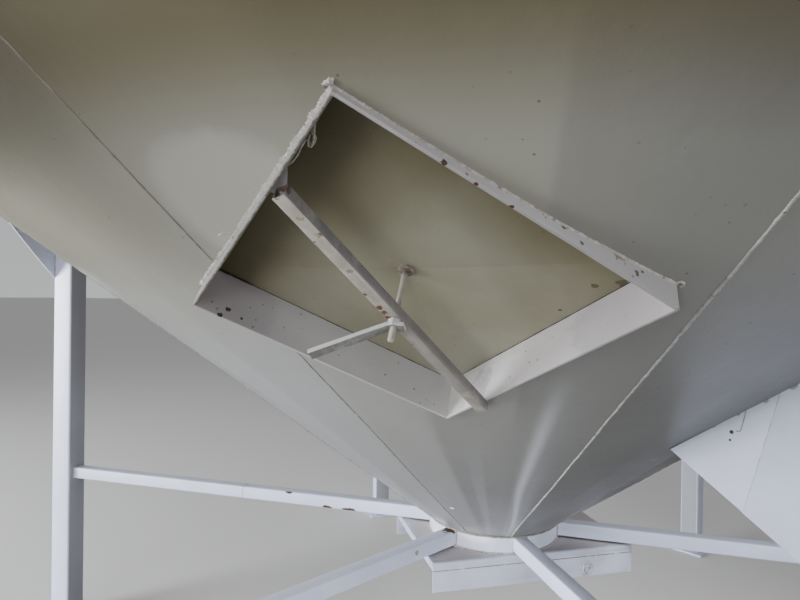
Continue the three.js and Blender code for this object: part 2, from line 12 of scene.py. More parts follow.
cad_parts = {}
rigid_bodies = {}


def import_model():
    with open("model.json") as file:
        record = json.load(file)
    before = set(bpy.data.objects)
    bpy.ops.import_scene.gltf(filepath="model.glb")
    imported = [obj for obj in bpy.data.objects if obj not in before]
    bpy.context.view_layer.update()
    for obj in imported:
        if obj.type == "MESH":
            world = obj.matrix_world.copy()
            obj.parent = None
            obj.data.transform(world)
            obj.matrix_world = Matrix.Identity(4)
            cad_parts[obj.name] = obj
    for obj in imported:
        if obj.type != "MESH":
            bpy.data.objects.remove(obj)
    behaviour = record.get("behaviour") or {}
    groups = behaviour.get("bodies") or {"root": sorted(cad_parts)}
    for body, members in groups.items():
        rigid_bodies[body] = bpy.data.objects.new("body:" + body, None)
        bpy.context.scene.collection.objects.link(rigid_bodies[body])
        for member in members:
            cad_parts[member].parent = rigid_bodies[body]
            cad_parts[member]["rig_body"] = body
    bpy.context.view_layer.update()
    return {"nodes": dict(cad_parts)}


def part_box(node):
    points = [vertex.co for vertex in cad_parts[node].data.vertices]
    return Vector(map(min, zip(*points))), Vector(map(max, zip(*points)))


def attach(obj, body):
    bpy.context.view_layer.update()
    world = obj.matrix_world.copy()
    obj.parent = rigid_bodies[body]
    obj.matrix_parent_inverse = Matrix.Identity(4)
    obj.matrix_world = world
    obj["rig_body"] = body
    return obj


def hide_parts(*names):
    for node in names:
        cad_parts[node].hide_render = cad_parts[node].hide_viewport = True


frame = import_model()
nodes = frame["nodes"]

# %% [markdown]
# Places round the silo are given by an azimuth in degrees. 0 is +X, 90 is -Y (the side with the hatch), 180
# is -X. Where a piece of the frame ends at a height that others start from, that height is read back from
# the piece's box, so that the two models can't drift apart.

# %% Sizes from the frame
def direction(azimuth):
    return Vector((math.cos(math.radians(azimuth)), -math.sin(math.radians(azimuth)), 0.0))


def turned(azimuth):
    return Matrix.Rotation(-math.radians(azimuth), 4, "Z")


UP = Vector((0.0, 0.0, 1.0))
CONE_ANGLE = math.radians(37.0)
CONE_SLOPE = math.tan(CONE_ANGLE)
CONE_SHEET = 0.004
RING_WALL = 0.006
SHELL_RADIUS = 2.134
ring_low, ring_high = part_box("collar_ring")
barrel_low, barrel_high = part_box("barrel_panel_1")
RING_BOTTOM = ring_low.z
RING_RADIUS = 0.247
RING_TOP = 0.735
MOUTH_RADIUS = RING_RADIUS - RING_WALL
BARREL_BOTTOM = barrel_low.z
BARREL_TOP = barrel_high.z


def cone_height(radius):
    return RING_TOP + CONE_SLOPE * (radius - RING_RADIUS)


def cone_normal(azimuth):
    return direction(azimuth) * math.sin(CONE_ANGLE) - UP * math.cos(CONE_ANGLE)


print("ring", round(RING_BOTTOM, 4), round(ring_high.z, 4))
print("barrel", round(BARREL_BOTTOM, 4), round(BARREL_TOP, 4))
print("rim height", round(cone_height(SHELL_RADIUS), 4))

# %% [markdown]
# The hatch is cut through two of the cone's sheets. Its own frame has Z out of the cone, X to its upper
# left side and Y to its lower left side. Both its pieces and its dirt are placed in that frame, so it comes
# first.

# %% The hatch's place
HATCH_AZIMUTH = 89.45
HATCH_RADIUS = 1.356
HATCH_TURN = 0.8
HATCH_RAISE = 0.0085
HATCH_HALF = 0.3125
HATCH_WALL = 0.006
HATCH_DEPTH = 0.1
COVER_FACE = -0.0925

up_slope = direction(HATCH_AZIMUTH) * math.cos(CONE_ANGLE) + UP * math.sin(CONE_ANGLE)
hatch_out = cone_normal(HATCH_AZIMUTH)
hatch_x = Matrix.Rotation(math.radians(45 + HATCH_TURN), 3, hatch_out) @ up_slope
hatch_y = hatch_out.cross(hatch_x)
hatch_foot = direction(HATCH_AZIMUTH) * HATCH_RADIUS + UP * cone_height(HATCH_RADIUS)
hatch_centre = hatch_foot + hatch_out * HATCH_RAISE
hatch_place = Matrix((hatch_x, hatch_y, hatch_out)).transposed().to_4x4()
hatch_place.translation = hatch_centre
into_hatch = hatch_place.inverted()


def hatch_point(x, y, z):
    return hatch_place @ Vector((x, y, z))


print("hatch centre", [round(value, 3) for value in hatch_centre])

# %% [markdown]
# The camera stands just outside the cone's rim, level with the hatch, and has the wide lens of a telephone.
# Its place and turn come from fitting the ring, the cone's edges and the legs, and the lens is the one that
# gives the photograph its 67 degrees of width.

# %% Camera
CAMERA_PLACE = Vector((0.2940, -2.3855, 1.5822))
CAMERA_HEADING = 16.09
CAMERA_PITCH = -0.283
CAMERA_ROLL = 0.770
CAMERA_LENS = 27.0

camera_data = bpy.data.cameras.new("camera")
camera_data.lens = CAMERA_LENS
camera_data.sensor_width = 36.0
camera_data.clip_start = 0.02
camera_data.clip_end = 400.0
camera = bpy.data.objects.new("camera", camera_data)
bpy.context.scene.collection.objects.link(camera)
heading = Matrix.Rotation(math.radians(CAMERA_HEADING), 4, "Z")
pitch = Matrix.Rotation(math.radians(90.0 + CAMERA_PITCH), 4, "X")
roll = Matrix.Rotation(math.radians(CAMERA_ROLL), 4, "Z")
camera.matrix_world = Matrix.Translation(CAMERA_PLACE) @ heading @ pitch @ roll
bpy.context.scene.camera = camera
print("camera looks along", [round(value, 3) for value in -camera.matrix_world.col[2].xyz])

# %% [markdown]
# Several finishes share the same effects: cloudy ageing of the paint, dark specks, rust that creeps out
# from one place, dust on level faces, and runs of dirty water. Each effect is a node group, built once,
# with its size in metres as an input. A group gives out only a colour, a mask or a height.

# %% Helper for shader groups
def shader_group(name, inputs, outputs):
    group = bpy.data.node_groups.new(name, "ShaderNodeTree")
    for label, kind, value in inputs:
        socket = group.interface.new_socket(label, in_out="INPUT", socket_type=kind)
        socket.default_value = value
    for label, kind in outputs:
        group.interface.new_socket(label, in_out="OUTPUT", socket_type=kind)
    return group, group.nodes.new("NodeGroupInput"), group.nodes.new("NodeGroupOutput")


print("groups can be made")

# %% [markdown]
# Masks are sums and ramps. In the editor each would be a few nodes drawn by hand, and here a short helper
# adds one node and joins it up. A value may be a number or another node's output, so each helper looks
# which it was given.

# %% Helpers for sums and ramps
def math_node(tree, operation, first, second=None):
    node = tree.nodes.new("ShaderNodeMath")
    node.operation = operation
    for socket, value in zip(node.inputs, (first, second)):
        if value is None:
            continue
        if isinstance(value, bpy.types.NodeSocket):
            tree.links.new(value, socket)
        else:
            socket.default_value = value
    return node.outputs[0]


def ramp_between(tree, value, low, high, to_low=0.0, to_high=1.0):
    node = tree.nodes.new("ShaderNodeMapRange")
    node.interpolation_type = "SMOOTHSTEP"
    tree.links.new(value, node.inputs["Value"])
    for label, setting in (("From Min", low), ("From Max", high), ("To Min", to_low), ("To Max", to_high)):
        if isinstance(setting, bpy.types.NodeSocket):
            tree.links.new(setting, node.inputs[label])
        else:
            node.inputs[label].default_value = setting
    return node.outputs[0]


print("sums and ramps ready")

# %% [markdown]
# Colours are laid over each other by a mask, as a painter does. Noise, read in the object's own coordinates
# in metres, keeps a pattern on its piece, so that it doesn't slide when the piece moves.

# %% Helpers for mixes and noise
def blended(tree, mask, first, second):
    node = tree.nodes.new("ShaderNodeMix")
    node.data_type = "RGBA"
    sockets = [socket for socket in node.inputs if socket.enabled]
    for socket, value in zip(sockets, (mask, first, second)):
        if isinstance(value, bpy.types.NodeSocket):
            tree.links.new(value, socket)
        else:
            socket.default_value = value
    return next(socket for socket in node.outputs if socket.enabled)


def object_noise(tree, scale, detail=4.0, roughness=0.55, vector=None):
    if vector is None:
        vector = tree.nodes.new("ShaderNodeTexCoord").outputs["Object"]
    node = tree.nodes.new("ShaderNodeTexNoise")
    tree.links.new(vector, node.inputs["Vector"])
    node.inputs["Detail"].default_value = detail
    node.inputs["Roughness"].default_value = roughness
    if isinstance(scale, bpy.types.NodeSocket):
        tree.links.new(scale, node.inputs["Scale"])
    else:
        node.inputs["Scale"].default_value = scale
    return node.outputs["Fac"]


print("mixes and noise ready")

# %% [markdown]
# A studio stands in for the yard, and its floor is one large plain grid. The light that reaches the
# underside of the cone has bounced off the ground, which is darker than a studio's floor. So the floor is
# mid grey for that bounced light, and pale, with a small glow, only where the camera sees it. A Light Path
# node tells the two apart.

# %% Floor
FLOOR_SIZE = 300.0
FLOOR_BELOW_FEET = 0.002
FLOOR_COLOUR = (0.34, 0.33, 0.315, 1.0)
FLOOR_SEEN = (0.74, 0.73, 0.71, 1.0)
FLOOR_GLOW = (0.07, 0.069, 0.067, 1.0)
BLACK = (0.0, 0.0, 0.0, 1.0)

floor_bm = bmesh.new()
bmesh.ops.create_grid(floor_bm, x_segments=2, y_segments=2, size=FLOOR_SIZE / 2)
floor_mesh = bpy.data.meshes.new("floor")
floor_bm.to_mesh(floor_mesh)
floor_bm.free()
floor = bpy.data.objects.new("floor", floor_mesh)
floor.location.z = -FLOOR_BELOW_FEET
bpy.context.scene.collection.objects.link(floor)

floor_paint = bpy.data.materials.new("studio_floor")
floor_paint.use_nodes = True
floor_tree = floor_paint.node_tree
floor_shader = floor_tree.nodes["Principled BSDF"]
floor_shader.inputs["Roughness"].default_value = 0.9
floor_shader.inputs["Specular IOR Level"].default_value = 0.1
floor_shader.inputs["Emission Strength"].default_value = 1.0
seen = floor_tree.nodes.new("ShaderNodeLightPath").outputs["Is Camera Ray"]
floor_tint = blended(floor_tree, seen, FLOOR_COLOUR, FLOOR_SEEN)
floor_glow = blended(floor_tree, seen, BLACK, FLOOR_GLOW)
floor_tree.links.new(floor_tint, floor_shader.inputs["Base Color"])
floor_tree.links.new(floor_glow, floor_shader.inputs["Emission Color"])
floor.data.materials.append(floor_paint)
print("floor", FLOOR_SIZE, "m")

# %% [markdown]
# The sky is a pale world without a sun. A colour ramp over the height makes it brighter at the horizon than
# overhead, and a second ramp from left to right dims it on the right, as the shading of the cone shows.

# %% Sky
HORIZON_COLOUR = (0.94, 0.96, 0.97, 1.0)
ZENITH_COLOUR = (0.59, 0.60, 0.62, 1.0)
ZENITH_FROM = 0.6
SKY_STRENGTH = 0.60
SKY_RIGHT = 0.45

world = bpy.data.worlds.new("studio_sky")
bpy.context.scene.world = world
world.use_nodes = True
sky_tree = world.node_tree
background = sky_tree.nodes["Background"]
background.inputs["Strength"].default_value = SKY_STRENGTH
sky_place = sky_tree.nodes.new("ShaderNodeTexCoord")
sky_split = sky_tree.nodes.new("ShaderNodeSeparateXYZ")
sky_ramp = sky_tree.nodes.new("ShaderNodeValToRGB")
sky_tree.links.new(sky_place.outputs["Generated"], sky_split.inputs[0])
sky_tree.links.new(sky_split.outputs["Z"], sky_ramp.inputs["Fac"])
sky_side = ramp_between(sky_tree, sky_split.outputs["X"], -0.5, 0.6, 1.0, SKY_RIGHT)
sky_tint = sky_tree.nodes.new("ShaderNodeVectorMath")
sky_tint.operation = "SCALE"
sky_tree.links.new(sky_ramp.outputs["Color"], sky_tint.inputs[0])
sky_tree.links.new(sky_side, sky_tint.inputs["Scale"])
sky_tree.links.new(sky_tint.outputs[0], background.inputs["Color"])
horizon, zenith = sky_ramp.color_ramp.elements
horizon.position = 0.0
horizon.color = HORIZON_COLOUR
zenith.position = ZENITH_FROM
zenith.color = ZENITH_COLOUR
print("sky strength", SKY_STRENGTH)

# %% [markdown]
# Two large discs are the open sky, low on the left and in front. Light also comes in between the legs, and
# an area light there would reach the legs and the back of the cone too. So five spots with fully soft edges
# stand for those gaps, each confined to its own cone of light. They were set by comparing renders with the
# photograph. sky_right lights the hatch and the cone's right half. sky_outer is level with the hatch and
# aimed past a leg, at the frame's outer face. sky_low, at knee height, brightens the ring, the gate and the
# spokes. sky_high comes in under the rim, on the tops of the right spoke and the gate. sky_side passes
# under the duct to the near spoke's side and the ring.

# %% Soft lights
DISC_DISTANCE = 9.0
DISC_TARGET = UP * 1.2
SKY_DISCS = (
    ("sky_left", 150, 1.6, 4.5, 1600, (0.93, 0.96, 1.0)),
    ("sky_front", 100, 1.0, 3.5, 250, (0.95, 0.97, 1.0)),
)
SKY_GAPS = (
    ("sky_right", 42, 4.6, 1.15, Vector((0.1, -1.35, 1.60)), 140, 34, 0.9, (0.97, 0.97, 1.0)),
    ("sky_outer", 27, 4.6, 1.82, Vector((0.12, -1.42, 1.72)), 170, 16, 0.4, (0.97, 0.97, 1.0)),
    ("sky_low", 104, 5.0, 0.5, UP * 0.58, 600, 25, 0.6, (0.93, 0.96, 1.0)),
    ("sky_high", 14, 7.0, 4.7, direction(0) * 0.55 + UP * 0.70, 1500, 30, 0.9, (0.95, 0.97, 1.0)),
    ("sky_side", 22, 4.8, 0.55, direction(48) * 0.70 + UP * 0.62, 420, 18, 0.5, (0.90, 0.94, 1.0)),
)


def soft_light(name, kind, place, target, power, colour):
    data = bpy.data.lights.new(name, kind)
    data.energy = power
    data.color = colour
    light = bpy.data.objects.new(name, data)
    light.location = place
    light.rotation_euler = (target - place).to_track_quat("-Z", "Y").to_euler()
    bpy.context.scene.collection.objects.link(light)
    return data


for name, azimuth, height, size, power, colour in SKY_DISCS:
    place = direction(azimuth) * DISC_DISTANCE + UP * height
    disc = soft_light(name, "AREA", place, DISC_TARGET, power, colour)
    disc.shape = "DISK"
    disc.size = size
for name, azimuth, distance, height, target, power, angle, size, colour in SKY_GAPS:
    place = direction(azimuth) * distance + UP * height
    spot = soft_light(name, "SPOT", place, target, power, colour)
    spot.spot_size = math.radians(angle)
    spot.spot_blend = 1.0
    spot.shadow_soft_size = size
print("lights", len(bpy.data.lights))

# %% [markdown]
# Clouds give a paint its slow change from clean to aged. A smooth ramp over a noise makes them, and the
# balance says how much of the surface has aged. The mask also roughens the aged places.

# %% Group: clouds
clouds, given, made = shader_group(
    "paint_clouds",
    [
        ("Clean", "NodeSocketColor", (0.7, 0.7, 0.68, 1)),
        ("Aged", "NodeSocketColor", (0.5, 0.49, 0.42, 1)),
        ("Size", "NodeSocketFloat", 0.5),
        ("Balance", "NodeSocketFloat", 0.5),
    ],
    [("Colour", "NodeSocketColor"), ("Mask", "NodeSocketFloat")],
)
cloud_scale = math_node(clouds, "DIVIDE", 1.0, given.outputs["Size"])
cloud_noise = object_noise(clouds, cloud_scale, 6.0, 0.6)
cloud_low = math_node(clouds, "SUBTRACT", given.outputs["Balance"], 0.22)
cloud_high = math_node(clouds, "ADD", given.outputs["Balance"], 0.22)
cloud_mask = ramp_between(clouds, cloud_noise, cloud_low, cloud_high)
cloud_colour = blended(clouds, cloud_mask, given.outputs["Clean"], given.outputs["Aged"])
clouds.links.new(cloud_colour, made.inputs["Colour"])
clouds.links.new(cloud_mask, made.inputs["Mask"])
print("group", clouds.name)

# %% [markdown]
# Specks are splashes and pits that lie at random. Painting each by hand would take hundreds of stains, so a
# Voronoi pattern gives the cells, one colour of the cell picks a share of them, another gives each its
# size, and a little noise makes the edge ragged.

# %% Group: specks
specks, given, made = shader_group(
    "paint_specks",
    [
        ("Spacing", "NodeSocketFloat", 0.05),
        ("Share", "NodeSocketFloat", 0.2),
        ("Radius", "NodeSocketFloat", 0.12),
    ],
    [("Mask", "NodeSocketFloat")],
)
speck_place = specks.nodes.new("ShaderNodeTexCoord")
speck_cells = specks.nodes.new("ShaderNodeTexVoronoi")
specks.links.new(speck_place.outputs["Object"], speck_cells.inputs["Vector"])
specks.links.new(math_node(specks, "DIVIDE", 1.0, given.outputs["Spacing"]), speck_cells.inputs["Scale"])
speck_pick = specks.nodes.new("ShaderNodeSeparateColor")
specks.links.new(speck_cells.outputs["Color"], speck_pick.inputs["Color"])
speck_chosen = math_node(specks, "LESS_THAN", speck_pick.outputs["Red"], given.outputs["Share"])
speck_size = math_node(specks, "MULTIPLY", speck_pick.outputs["Green"], given.outputs["Radius"])
speck_ragged = math_node(specks, "MULTIPLY", object_noise(specks, 260.0, 2.0), 0.05)
speck_distance = math_node(specks, "ADD", speck_cells.outputs["Distance"], speck_ragged)
speck_edge = math_node(specks, "MULTIPLY", speck_size, 0.55)
speck_round = ramp_between(specks, speck_distance, speck_edge, speck_size, 1.0, 0.0)
specks.links.new(math_node(specks, "MULTIPLY", speck_round, speck_chosen), made.inputs["Mask"])
print("group", specks.name)

# %% [markdown]
# A stain is rust or wear that belongs to one place on the object, so its mask is a ragged ball round a
# point. The same group also lays broad patches of painted light and painted shade. The shape input
# stretches the ball, for a chip along an edge or a scratch.

# %% Group: stain and painted light
stain_and_painted_light, given, made = shader_group(
    "local_stain_and_painted_light",
    [
        ("Place", "NodeSocketVector", (0.0, 0.0, 0.0)),
        ("Shape", "NodeSocketVector", (1.0, 1.0, 1.0)),
        ("Radius", "NodeSocketFloat", 0.02),
        ("Raggedness", "NodeSocketFloat", 0.6),
        ("Grain", "NodeSocketFloat", 90.0),
    ],
    [("Mask", "NodeSocketFloat")],
)
stain_place = stain_and_painted_light.nodes.new("ShaderNodeTexCoord")
stain_from = stain_and_painted_light.nodes.new("ShaderNodeVectorMath")
stain_from.operation = "SUBTRACT"
stain_and_painted_light.links.new(stain_place.outputs["Object"], stain_from.inputs[0])
stain_and_painted_light.links.new(given.outputs["Place"], stain_from.inputs[1])
stain_shape = stain_and_painted_light.nodes.new("ShaderNodeVectorMath")
stain_shape.operation = "DIVIDE"
stain_and_painted_light.links.new(stain_from.outputs["Vector"], stain_shape.inputs[0])
stain_and_painted_light.links.new(given.outputs["Shape"], stain_shape.inputs[1])
stain_distance = stain_and_painted_light.nodes.new("ShaderNodeVectorMath")
stain_distance.operation = "LENGTH"
stain_and_painted_light.links.new(stain_shape.outputs["Vector"], stain_distance.inputs[0])
stain_share = math_node(stain_and_painted_light, "DIVIDE", stain_distance.outputs["Value"], given.outputs["Radius"])
stain_noise = math_node(stain_and_painted_light, "SUBTRACT", object_noise(stain_and_painted_light, given.outputs["Grain"], 4.0, 0.65), 0.5)
stain_wander = math_node(stain_and_painted_light, "MULTIPLY", stain_noise, given.outputs["Raggedness"])
stain_edge = math_node(stain_and_painted_light, "ADD", stain_share, math_node(stain_and_painted_light, "MULTIPLY", stain_wander, 3.0))
stain_and_painted_light.links.new(ramp_between(stain_and_painted_light, stain_edge, 0.7, 1.0, 1.0, 0.0), made.inputs["Mask"])
print("group", stain_and_painted_light.name)

# %% [markdown]
# Runs are long thin marks that rain leaves down the slope. Noise is read in azimuth and height, both
# stretched by an input, so that each mark follows the silo's round shape.

# %% Group: runs
runs, given, made = shader_group(
    "slope_runs",
    [
        ("Width", "NodeSocketFloat", 0.03),
        ("Length", "NodeSocketFloat", 0.8),
        ("Share", "NodeSocketFloat", 0.4),
    ],
    [("Mask", "NodeSocketFloat")],
)
run_place = runs.nodes.new("ShaderNodeTexCoord")
run_split = runs.nodes.new("ShaderNodeSeparateXYZ")
runs.links.new(run_place.outputs["Object"], run_split.inputs[0])
run_turn = math_node(runs, "ARCTAN2", run_split.outputs["Y"], run_split.outputs["X"])
run_across = math_node(runs, "DIVIDE", run_turn, given.outputs["Width"])
run_along = math_node(runs, "DIVIDE", run_split.outputs["Z"], given.outputs["Length"])
run_join = runs.nodes.new("ShaderNodeCombineXYZ")
runs.links.new(run_across, run_join.inputs["X"])
runs.links.new(run_along, run_join.inputs["Z"])
run_noise = object_noise(runs, 1.0, 3.0, 0.6, run_join.outputs[0])
run_low = math_node(runs, "SUBTRACT", 1.0, given.outputs["Share"])
run_high = math_node(runs, "ADD", run_low, 0.2)
runs.links.new(ramp_between(runs, run_noise, run_low, run_high), made.inputs["Mask"])
print("group", runs.name)

# %% [markdown]
# Dust lies where the surface looks up, so its mask comes from the upright part of the surface's normal. The
# same mask also paints shade: darker upper faces on the bar and, turned round, a darker underside on the
# crank. The skin of sprayed paint is a fine, low ripple with slower waves under it, and only moves the Bump
# node.

# %% Groups: dust and painted shade, and paint skin
dust_and_shade, given, made = shader_group(
    "settled_dust_and_shade",
    [
        ("Amount", "NodeSocketFloat", 1.0),
        ("Grain", "NodeSocketFloat", 60.0),
        ("Steepest", "NodeSocketFloat", 0.3),
        ("Level", "NodeSocketFloat", 0.9),
    ],
    [("Mask", "NodeSocketFloat")],
)
dust_face = dust_and_shade.nodes.new("ShaderNodeNewGeometry")
dust_split = dust_and_shade.nodes.new("ShaderNodeSeparateXYZ")
dust_and_shade.links.new(dust_face.outputs["Normal"], dust_split.inputs[0])
dust_level = ramp_between(dust_and_shade, dust_split.outputs["Z"], given.outputs["Steepest"], given.outputs["Level"])
dust_grain = ramp_between(dust_and_shade, object_noise(dust_and_shade, given.outputs["Grain"], 5.0, 0.7), 0.3, 0.6, 0.55, 1.0)
dust_thick = math_node(dust_and_shade, "MULTIPLY", dust_level, dust_grain)
dust_and_shade.links.new(math_node(dust_and_shade, "MULTIPLY", dust_thick, given.outputs["Amount"]), made.inputs["Mask"])

skin, given, made = shader_group(
    "paint_skin",
    [("Ripple", "NodeSocketFloat", 320.0), ("Waves", "NodeSocketFloat", 22.0)],
    [("Height", "NodeSocketFloat")],
)
skin_fine = object_noise(skin, given.outputs["Ripple"], 2.0, 0.5)
skin_slow = math_node(skin, "MULTIPLY", object_noise(skin, given.outputs["Waves"], 2.0, 0.5), 6.0)
skin.links.new(math_node(skin, "ADD", skin_fine, skin_slow), made.inputs["Height"])
print("groups", dust_and_shade.name, skin.name)

# %% [markdown]
# Part of the cone's light and shade is painted: some sheets are painted a little lighter or darker, as
# light and shade, and a pressed ridge gets a painted highlight. A band group marks the strip between two
# azimuths and two radii, with soft borders. It can lean, because the ridge bends as it nears the mouth. An
# image would do this too, but a band keeps to the frame's own degrees and metres.

# %% Group: cone band
band, given, made = shader_group(
    "cone_band",
    [
        ("First", "NodeSocketFloat", 70.0),
        ("Last", "NodeSocketFloat", 80.0),
        ("Blur", "NodeSocketFloat", 1.0),
        ("Lowest", "NodeSocketFloat", 0.25),
        ("Highest", "NodeSocketFloat", 2.1),
        ("Fade", "NodeSocketFloat", 0.2),
        ("Lean", "NodeSocketFloat", 0.0),
    ],
    [("Mask", "NodeSocketFloat")],
)
band_split = band.nodes.new("ShaderNodeSeparateXYZ")
band.links.new(band.nodes.new("ShaderNodeTexCoord").outputs["Object"], band_split.inputs[0])
band_x, band_y = band_split.outputs["X"], band_split.outputs["Y"]
band_turn = math_node(band, "ARCTAN2", math_node(band, "MULTIPLY", band_y, -1.0), band_x)
band_x_square = math_node(band, "POWER", band_x, 2.0)
band_y_square = math_node(band, "POWER", band_y, 2.0)
band_radius = math_node(band, "SQRT", math_node(band, "ADD", band_x_square, band_y_square))
band_near_mouth = ramp_between(band, band_radius, 0.24, 0.65, 1.0, 0.0)
band_bend = math_node(band, "MULTIPLY", band_near_mouth, given.outputs["Lean"])
band_azimuth = math_node(band, "SUBTRACT", math_node(band, "DEGREES", band_turn), band_bend)
band_blur = given.outputs["Blur"]


def band_edge(value, limit, blur, rising):
    low = math_node(band, "SUBTRACT", limit, blur)
    high = math_node(band, "ADD", limit, blur)
    return ramp_between(band, value, low, high, 0.0 if rising else 1.0, 1.0 if rising else 0.0)


band_sides = math_node(
    band, "MULTIPLY",
    band_edge(band_azimuth, given.outputs["First"], band_blur, True),
    band_edge(band_azimuth, given.outputs["Last"], band_blur, False),
)
band_ends = math_node(
    band, "MULTIPLY",
    band_edge(band_radius, given.outputs["Lowest"], given.outputs["Fade"], True),
    band_edge(band_radius, given.outputs["Highest"], given.outputs["Fade"], False),
)
band.links.new(math_node(band, "MULTIPLY", band_sides, band_ends), made.inputs["Mask"])
print("group", band.name)

# %% [markdown]
# In the hatch, dirt gathers where the cover meets the plates, and that inner corner is also painted dark as
# shade, most widely at the upper left. The plates lie in shade towards the upper corners, and that shade is
# painted. The group works in the hatch's own frame: a Mapping node of type Texture takes a point into that
# frame. It gives the inner corner's dirt and painted shade, the painted shade towards the upper corners, the
# frame's outer face on the upper right, which is painted paler as light, and the inner edge of the brim,
# which is painted dark as shade.

# %% Group: hatch dirt and painted light and shade
HATCH_INSIDE = HATCH_HALF - HATCH_WALL
hatch_dirt_and_painted_light, given, made = shader_group(
    "hatch_dirt_and_painted_light",
    [("Width", "NodeSocketFloat", 0.005), ("Growth", "NodeSocketFloat", 4.0)],
    [(label, "NodeSocketFloat") for label in ("Corner", "Shade", "Outer", "Brim")],
)
hatch_map = hatch_dirt_and_painted_light.nodes.new("ShaderNodeMapping")
hatch_map.vector_type = "TEXTURE"
hatch_map.inputs["Location"].default_value = hatch_centre
hatch_map.inputs["Rotation"].default_value = hatch_place.to_euler()
hatch_object = hatch_dirt_and_painted_light.nodes.new("ShaderNodeTexCoord").outputs["Object"]
hatch_dirt_and_painted_light.links.new(hatch_object, hatch_map.inputs["Vector"])
hatch_split = hatch_dirt_and_painted_light.nodes.new("ShaderNodeSeparateXYZ")
hatch_dirt_and_painted_light.links.new(hatch_map.outputs["Vector"], hatch_split.inputs[0])
# The inner corner: dirt and painted shade, widest at the upper left.
far_x = math_node(hatch_dirt_and_painted_light, "ABSOLUTE", hatch_split.outputs["X"])
far_y = math_node(hatch_dirt_and_painted_light, "ABSOLUTE", hatch_split.outputs["Y"])
to_middle = math_node(hatch_dirt_and_painted_light, "MAXIMUM", far_x, far_y)
to_wall = math_node(hatch_dirt_and_painted_light, "SUBTRACT", HATCH_INSIDE, to_middle)
to_wall = math_node(hatch_dirt_and_painted_light, "MAXIMUM", to_wall, 0.0)
to_cover = math_node(hatch_dirt_and_painted_light, "ADD", hatch_split.outputs["Z"], HATCH_DEPTH)
to_cover = math_node(hatch_dirt_and_painted_light, "MAXIMUM", to_cover, 0.0)
to_corner = math_node(hatch_dirt_and_painted_light, "ADD", to_wall, to_cover)
upper_left = ramp_between(hatch_dirt_and_painted_light, hatch_split.outputs["X"], 0.20, 0.31)
growth = math_node(hatch_dirt_and_painted_light, "MULTIPLY", upper_left, given.outputs["Growth"])
growth = math_node(hatch_dirt_and_painted_light, "ADD", growth, 1.0)
uneven = ramp_between(hatch_dirt_and_painted_light, object_noise(hatch_dirt_and_painted_light, 34.0, 5.0, 0.7), 0.35, 0.7, 0.55, 1.5)
corner_dirt_and_shade_width = math_node(hatch_dirt_and_painted_light, "MULTIPLY", growth, uneven)
corner_dirt_and_shade_width = math_node(hatch_dirt_and_painted_light, "MULTIPLY", corner_dirt_and_shade_width, given.outputs["Width"])
corner_dirt_and_shade_share = math_node(hatch_dirt_and_painted_light, "DIVIDE", to_corner, corner_dirt_and_shade_width)
hatch_dirt_and_painted_light.links.new(ramp_between(hatch_dirt_and_painted_light, corner_dirt_and_shade_share, 0.5, 1.3, 1.0, 0.0), made.inputs["Corner"])
# Painted shade towards the upper corners.
shade_noise = math_node(hatch_dirt_and_painted_light, "MULTIPLY", object_noise(hatch_dirt_and_painted_light, 5.0, 3.0), 0.12)
shade_x = math_node(hatch_dirt_and_painted_light, "ADD", hatch_split.outputs["X"], shade_noise)
shade_y = math_node(hatch_dirt_and_painted_light, "SUBTRACT", shade_noise, hatch_split.outputs["Y"])
shade_left = ramp_between(hatch_dirt_and_painted_light, shade_x, 0.12, 0.36)
shade_right = math_node(hatch_dirt_and_painted_light, "MULTIPLY", ramp_between(hatch_dirt_and_painted_light, shade_y, 0.16, 0.31), 0.9)
shade = math_node(hatch_dirt_and_painted_light, "MAXIMUM", shade_left, shade_right)
hatch_dirt_and_painted_light.links.new(shade, made.inputs["Shade"])
# Painted light: the frame's outer face on the upper right.
outer_face = math_node(hatch_dirt_and_painted_light, "LESS_THAN", hatch_split.outputs["Y"], 0.0008 - HATCH_HALF)
hatch_dirt_and_painted_light.links.new(outer_face, made.inputs["Outer"])
# Painted shade: the inner edge of the upper left brim, and that plate a little darker.
from_inside = math_node(hatch_dirt_and_painted_light, "SUBTRACT", hatch_split.outputs["X"], HATCH_INSIDE)
brim_reach = ramp_between(hatch_dirt_and_painted_light, object_noise(hatch_dirt_and_painted_light, 55.0, 4.0, 0.7), 0.3, 0.7, 0.0020, 0.0056)
brim = ramp_between(hatch_dirt_and_painted_light, math_node(hatch_dirt_and_painted_light, "DIVIDE", from_inside, brim_reach), 0.7, 1.1, 1.0, 0.0)
brim_side = math_node(hatch_dirt_and_painted_light, "GREATER_THAN", from_inside, -0.0006)
brim_span = math_node(hatch_dirt_and_painted_light, "LESS_THAN", far_y, HATCH_INSIDE - 0.0004)
brim = math_node(hatch_dirt_and_painted_light, "MULTIPLY", brim, math_node(hatch_dirt_and_painted_light, "MULTIPLY", brim_side, brim_span))
brim = math_node(hatch_dirt_and_painted_light, "MAXIMUM", brim, math_node(hatch_dirt_and_painted_light, "MULTIPLY", brim_side, 0.22))
hatch_dirt_and_painted_light.links.new(brim, made.inputs["Brim"])
print("group", hatch_dirt_and_painted_light.name)

# %% [markdown]
# Each finish starts from the same paint recipe: a clouded colour, dark specks, rust where the paint broke,
# dust on top, and the ripple of sprayed enamel. Three colours come back on many pieces, and a helper puts a
# group into a material with that material's own values.

# %% Colours and a placed group
RUST = (0.075, 0.034, 0.022, 1.0)
# Dark dirt, and also painted shade in the hatch's inner corner and in the gate's gap.
DARK_DIRT_AND_SHADE = (0.035, 0.03, 0.022, 1.0)
DUST = (0.30, 0.24, 0.20, 1.0)
RIPPLE_HEIGHT = 0.0006
RIPPLE_STRENGTH = 0.25


